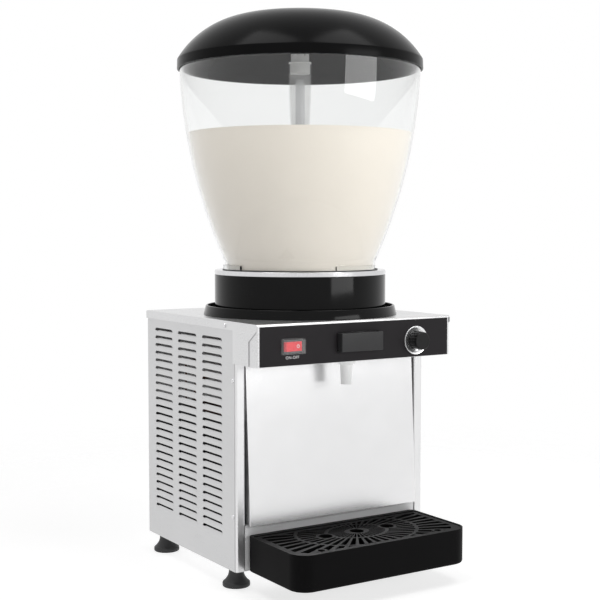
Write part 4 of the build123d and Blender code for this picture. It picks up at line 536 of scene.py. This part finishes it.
outer, inner = flank(0.0), flank(wall)
bowl = turned([
    (neck - wall, bowl_low.z, foot_edge), (neck, bowl_low.z, foot_edge), *outer[:-1], (*outer[-1], rim_edge),
    (*inner[-1], rim_edge), *inner[-2::-1],
], axis, steps=192)
lug_root, lug_face, lug_low, lug_high = neck - wall / 2, 0.1260, 0.4865, 0.4930
lug_count, lug_start, lug_span = 3, -96, 45
for lug in range(lug_count):
    strip = bmesh.new()
    corners = [strip.verts.new((radius, 0.0, height)) for radius, height in
               ((lug_root, lug_low), (lug_face, lug_low), (lug_face, lug_high), (lug_root, lug_high))]
    strip.faces.new(corners)
    bmesh.ops.rotate(strip, verts=strip.verts, cent=(0, 0, 0),
                     matrix=Matrix.Rotation(radians(lug_start + 360 / lug_count * lug), 3, "Z"))
    bmesh.ops.spin(strip, geom=strip.faces[:] + strip.edges[:] + strip.verts[:], cent=(0, 0, 0),
                   axis=(0, 0, 1), angle=radians(lug_span), steps=16)
    bmesh.ops.remove_doubles(strip, verts=strip.verts, dist=weld)
    bmesh.ops.recalc_face_normals(strip, faces=strip.faces)
    bmesh.ops.translate(strip, verts=strip.verts, vec=axis)
    lug_mesh = bpy.data.meshes.new("lug")
    strip.to_mesh(lug_mesh)
    strip.free()
    bowl.from_mesh(lug_mesh)
clear_bowl = finished("clear bowl", bright_polish, (12, 12, 12),
                      (0.955, 0.961, 0.959), (0.965, 0.970, 0.968), 0.0, 0.02, 0.00002,
                      Transmission_Weight=1.0, IOR=1.45)
lamp_rays = place(clear_bowl.node_tree, "LightPath", {}).outputs["Is Shadow Ray"]
veil(clear_bowl, lamp_rays, tint=(0.93, 0.94, 0.935, 1.0))
piece("bowl_shell", bowl, clear_bowl, "bowl", "clear_bowl", "bowl")


# Drink
# A cloudy cold drink that fills the bowl to below its shoulder, open in the middle for the riser.
# It rides with the bowl and creeps a little way up its wall.
level, play, well, clearance = 0.7050, 0.0004, 0.0205, 0.0010
creep, meniscus, dip = 0.0008, 0.0020, 0.0010
wetted = [point for point in flank(wall + play) if point[1] < level]
shore = wetted[-1][0]
drink = turned([
    (well, bowl_low.z + clearance), (neck - wall - play, bowl_low.z + clearance), *wetted,
    (shore + creep, level), (shore - meniscus, level - dip), (well, level - dip),
], axis, steps=160)
cloudy_drink = finished("cloudy drink", moulded_skin, (8, 8, 8),
                        (0.866, 0.800, 0.712), (0.871, 0.805, 0.717), 0.35, 0.40, 0.00001)
piece("drink", drink, cloudy_drink, "bowl", "white_plastic", crease=60)


# Lid
# A deep gloss black domed lid with a turned-down lip and a locating rib inside the bowl's rim.
# It is moulded in one piece, rests on the rim and lifts off.
lid_low, lid_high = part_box("lid")
lid_radius, lip_radius, lip_height = 0.1983, 0.1987, 0.0150
crown_radius, shoulder, lid_wall, lid_edge = 0.5600, 0.1000, 0.0030, 0.0008


def dome(inset):
    """Half of the domed top, from its middle to the crease above the lip."""
    radius, edge = crown_radius - inset, shoulder - inset
    slope = asin(edge / radius)
    centre = Vector((0.0, lid_high.z - crown_radius))
    turn = centre + radius * Vector((sin(slope), cos(slope)))
    inward = (centre - turn).normalized()
    crease = Vector((lid_radius - inset, lid_low.z + lip_height))
    bend = (crease - turn).length_squared / (2 * inward.dot(crease - turn))
    top = arc(centre, Vector((0.0, lid_high.z - inset)), turn, count=24)
    return top[:-1] + arc(turn + bend * inward, turn, crease, count=20)


rib_play, rib_wall, rib_depth, rib_root = 0.0012, 0.0025, 0.0080, 0.0050
rib_outer = rim - wall - rib_play
rib_inner = rib_outer - rib_wall
rib_low, roof = bowl_high.z - rib_depth, bowl_high.z + rib_root
lip_inside = lip_radius - lid_wall
outside, inside = dome(0.0), dome(lid_wall)
lid = turned([
    *outside[:-1], (*outside[-1], lid_edge), (lip_radius, lid_low.z, lid_edge),
    (lip_inside, lid_low.z, lid_edge), (lip_inside, bowl_high.z), (rib_outer, bowl_high.z),
    (rib_outer, rib_low, lid_edge), (rib_inner, rib_low, lid_edge), (rib_inner, roof),
    (lid_radius - lid_wall, roof), *inside[::-1],
], axis, steps=192, closed=False)
lid_black = finished("lid moulding", bright_polish, (9, 9, 9),
                     (0.0030, 0.0030, 0.0032), (0.0045, 0.0045, 0.0047), 0.18, 0.23, 0.00005,
                     Specular_IOR_Level=0.05)
piece("lid_moulding", lid, lid_black, "lid", "gloss_black", "lid")


# Studio
# A pale floor that fades into a white room, with three large soft lamps, two overhead and one front right.
# The camera stands at the photograph's place.
camera_data = bpy.data.cameras.new("camera")
camera_data.lens = 71.71
camera_data.sensor_width = 36.0
camera = bpy.data.objects.new("camera", camera_data)
camera.location = (-1.0561, -1.6319, 0.5549)
camera.rotation_euler = (radians(90 - 3.5175), 0.0, radians(-32.676))
bpy.context.scene.collection.objects.link(camera)
bpy.context.scene.camera = camera


def soft_lamp(name, position, target, width, height, radiance):
    """A large soft lamp, given by how bright its face is."""
    data = bpy.data.lights.new(name, "AREA")
    data.shape = "RECTANGLE"
    data.size = width
    data.size_y = height
    data.energy = pi * width * height * radiance
    lamp = bpy.data.objects.new(name, data)
    lamp.location = position
    lamp.rotation_euler = (Vector(target) - Vector(position)).to_track_quat("-Z", "Y").to_euler()
    lamp.visible_camera = False
    lamp.visible_transmission = False
    bpy.context.scene.collection.objects.link(lamp)


soft_lamp("overhead left", (-0.84, -0.09, 2.35), (0.0, 0.0, 0.85), 1.1, 0.9, 4.5)
soft_lamp("overhead right", (0.46, -0.74, 2.3), (0.0, 0.0, 0.85), 1.1, 0.9, 4.3)
soft_lamp("front right", (0.95, -2.13, 0.86), (0.0, 0.0, 0.86), 1.35, 0.60, 5.3)


def eased(tree, value, start, end, first, last):
    """A smooth change from a first to a last number while a value goes from start to end."""
    return place(tree, "MapRange", {
        "Value": value, "From Min": start, "From Max": end, "To Min": first, "To Max": last,
    }, interpolation_type="SMOOTHSTEP").outputs["Result"]


world = bpy.data.worlds.new("white room")
world.use_nodes = True
bpy.context.scene.world = world
tree = world.node_tree
heading = place(tree, "TexCoord", {}).outputs["Generated"]
upward = place(tree, "SeparateXYZ", {"Vector": heading}).outputs["Z"]
camera_side = (-0.54, -0.84, 0.0)
frontward = place(tree, "VectorMath", {0: heading, 1: camera_side}, operation="DOT_PRODUCT").outputs["Value"]
backdrop = eased(tree, frontward, -0.6, -0.18, 1.0, 0.2)
height = eased(tree, upward, 0.25, 0.75, 1.0, 0.3)
walls = place(tree, "Math", {0: backdrop, 1: height}, operation="MULTIPLY").outputs["Value"]
below = eased(tree, upward, -0.10, -0.02, 1.05, 0.0)
room = place(tree, "Math", {0: walls, 1: below}, operation="MAXIMUM").outputs["Value"]
rays = place(tree, "LightPath", {}).outputs
seen = rays["Is Camera Ray"]
for kind in ("Is Transmission Ray", "Is Glossy Ray"):
    seen = place(tree, "Math", {0: seen, 1: rays[kind]}, operation="MAXIMUM").outputs["Value"]
shown = place(tree, "MixRGB", {"Fac": seen, "Color1": room, "Color2": (1.0, 1.0, 1.0, 1.0)})
tree.links.new(shown.outputs["Color"], tree.nodes["Background"].inputs["Color"])

floor = bmesh.new()
bmesh.ops.create_circle(floor, cap_ends=True, radius=1.6, segments=96)
floor_mesh = bpy.data.meshes.new("floor")
floor.to_mesh(floor_mesh)
floor.free()
pale_floor = bpy.data.materials.new("pale floor")
pale_floor.use_nodes = True
tree = pale_floor.node_tree
where = place(tree, "TexCoord", {}).outputs["Object"]
reach = place(tree, "VectorMath", {0: where}, operation="LENGTH").outputs["Value"]
away = eased(tree, reach, 0.5, 1.5, 0.0, 1.0)
paper = place(tree, "BsdfDiffuse", {"Color": (0.5, 0.5, 0.5, 1.0)})
white = place(tree, "Emission", {"Color": (1.0, 1.0, 1.0, 1.0), "Strength": 0.74})
lit = place(tree, "AddShader", {0: paper.outputs["BSDF"], 1: white.outputs["Emission"]})
gone = place(tree, "BsdfTransparent", {})
fade = place(tree, "MixShader", {0: away, 1: lit.outputs["Shader"], 2: gone.outputs["BSDF"]})
tree.links.new(fade.outputs["Shader"], tree.nodes["Material Output"].inputs["Surface"])
floor_mesh.materials.append(pale_floor)
floor_object = bpy.data.objects.new("floor", floor_mesh)
bpy.context.scene.collection.objects.link(floor_object)
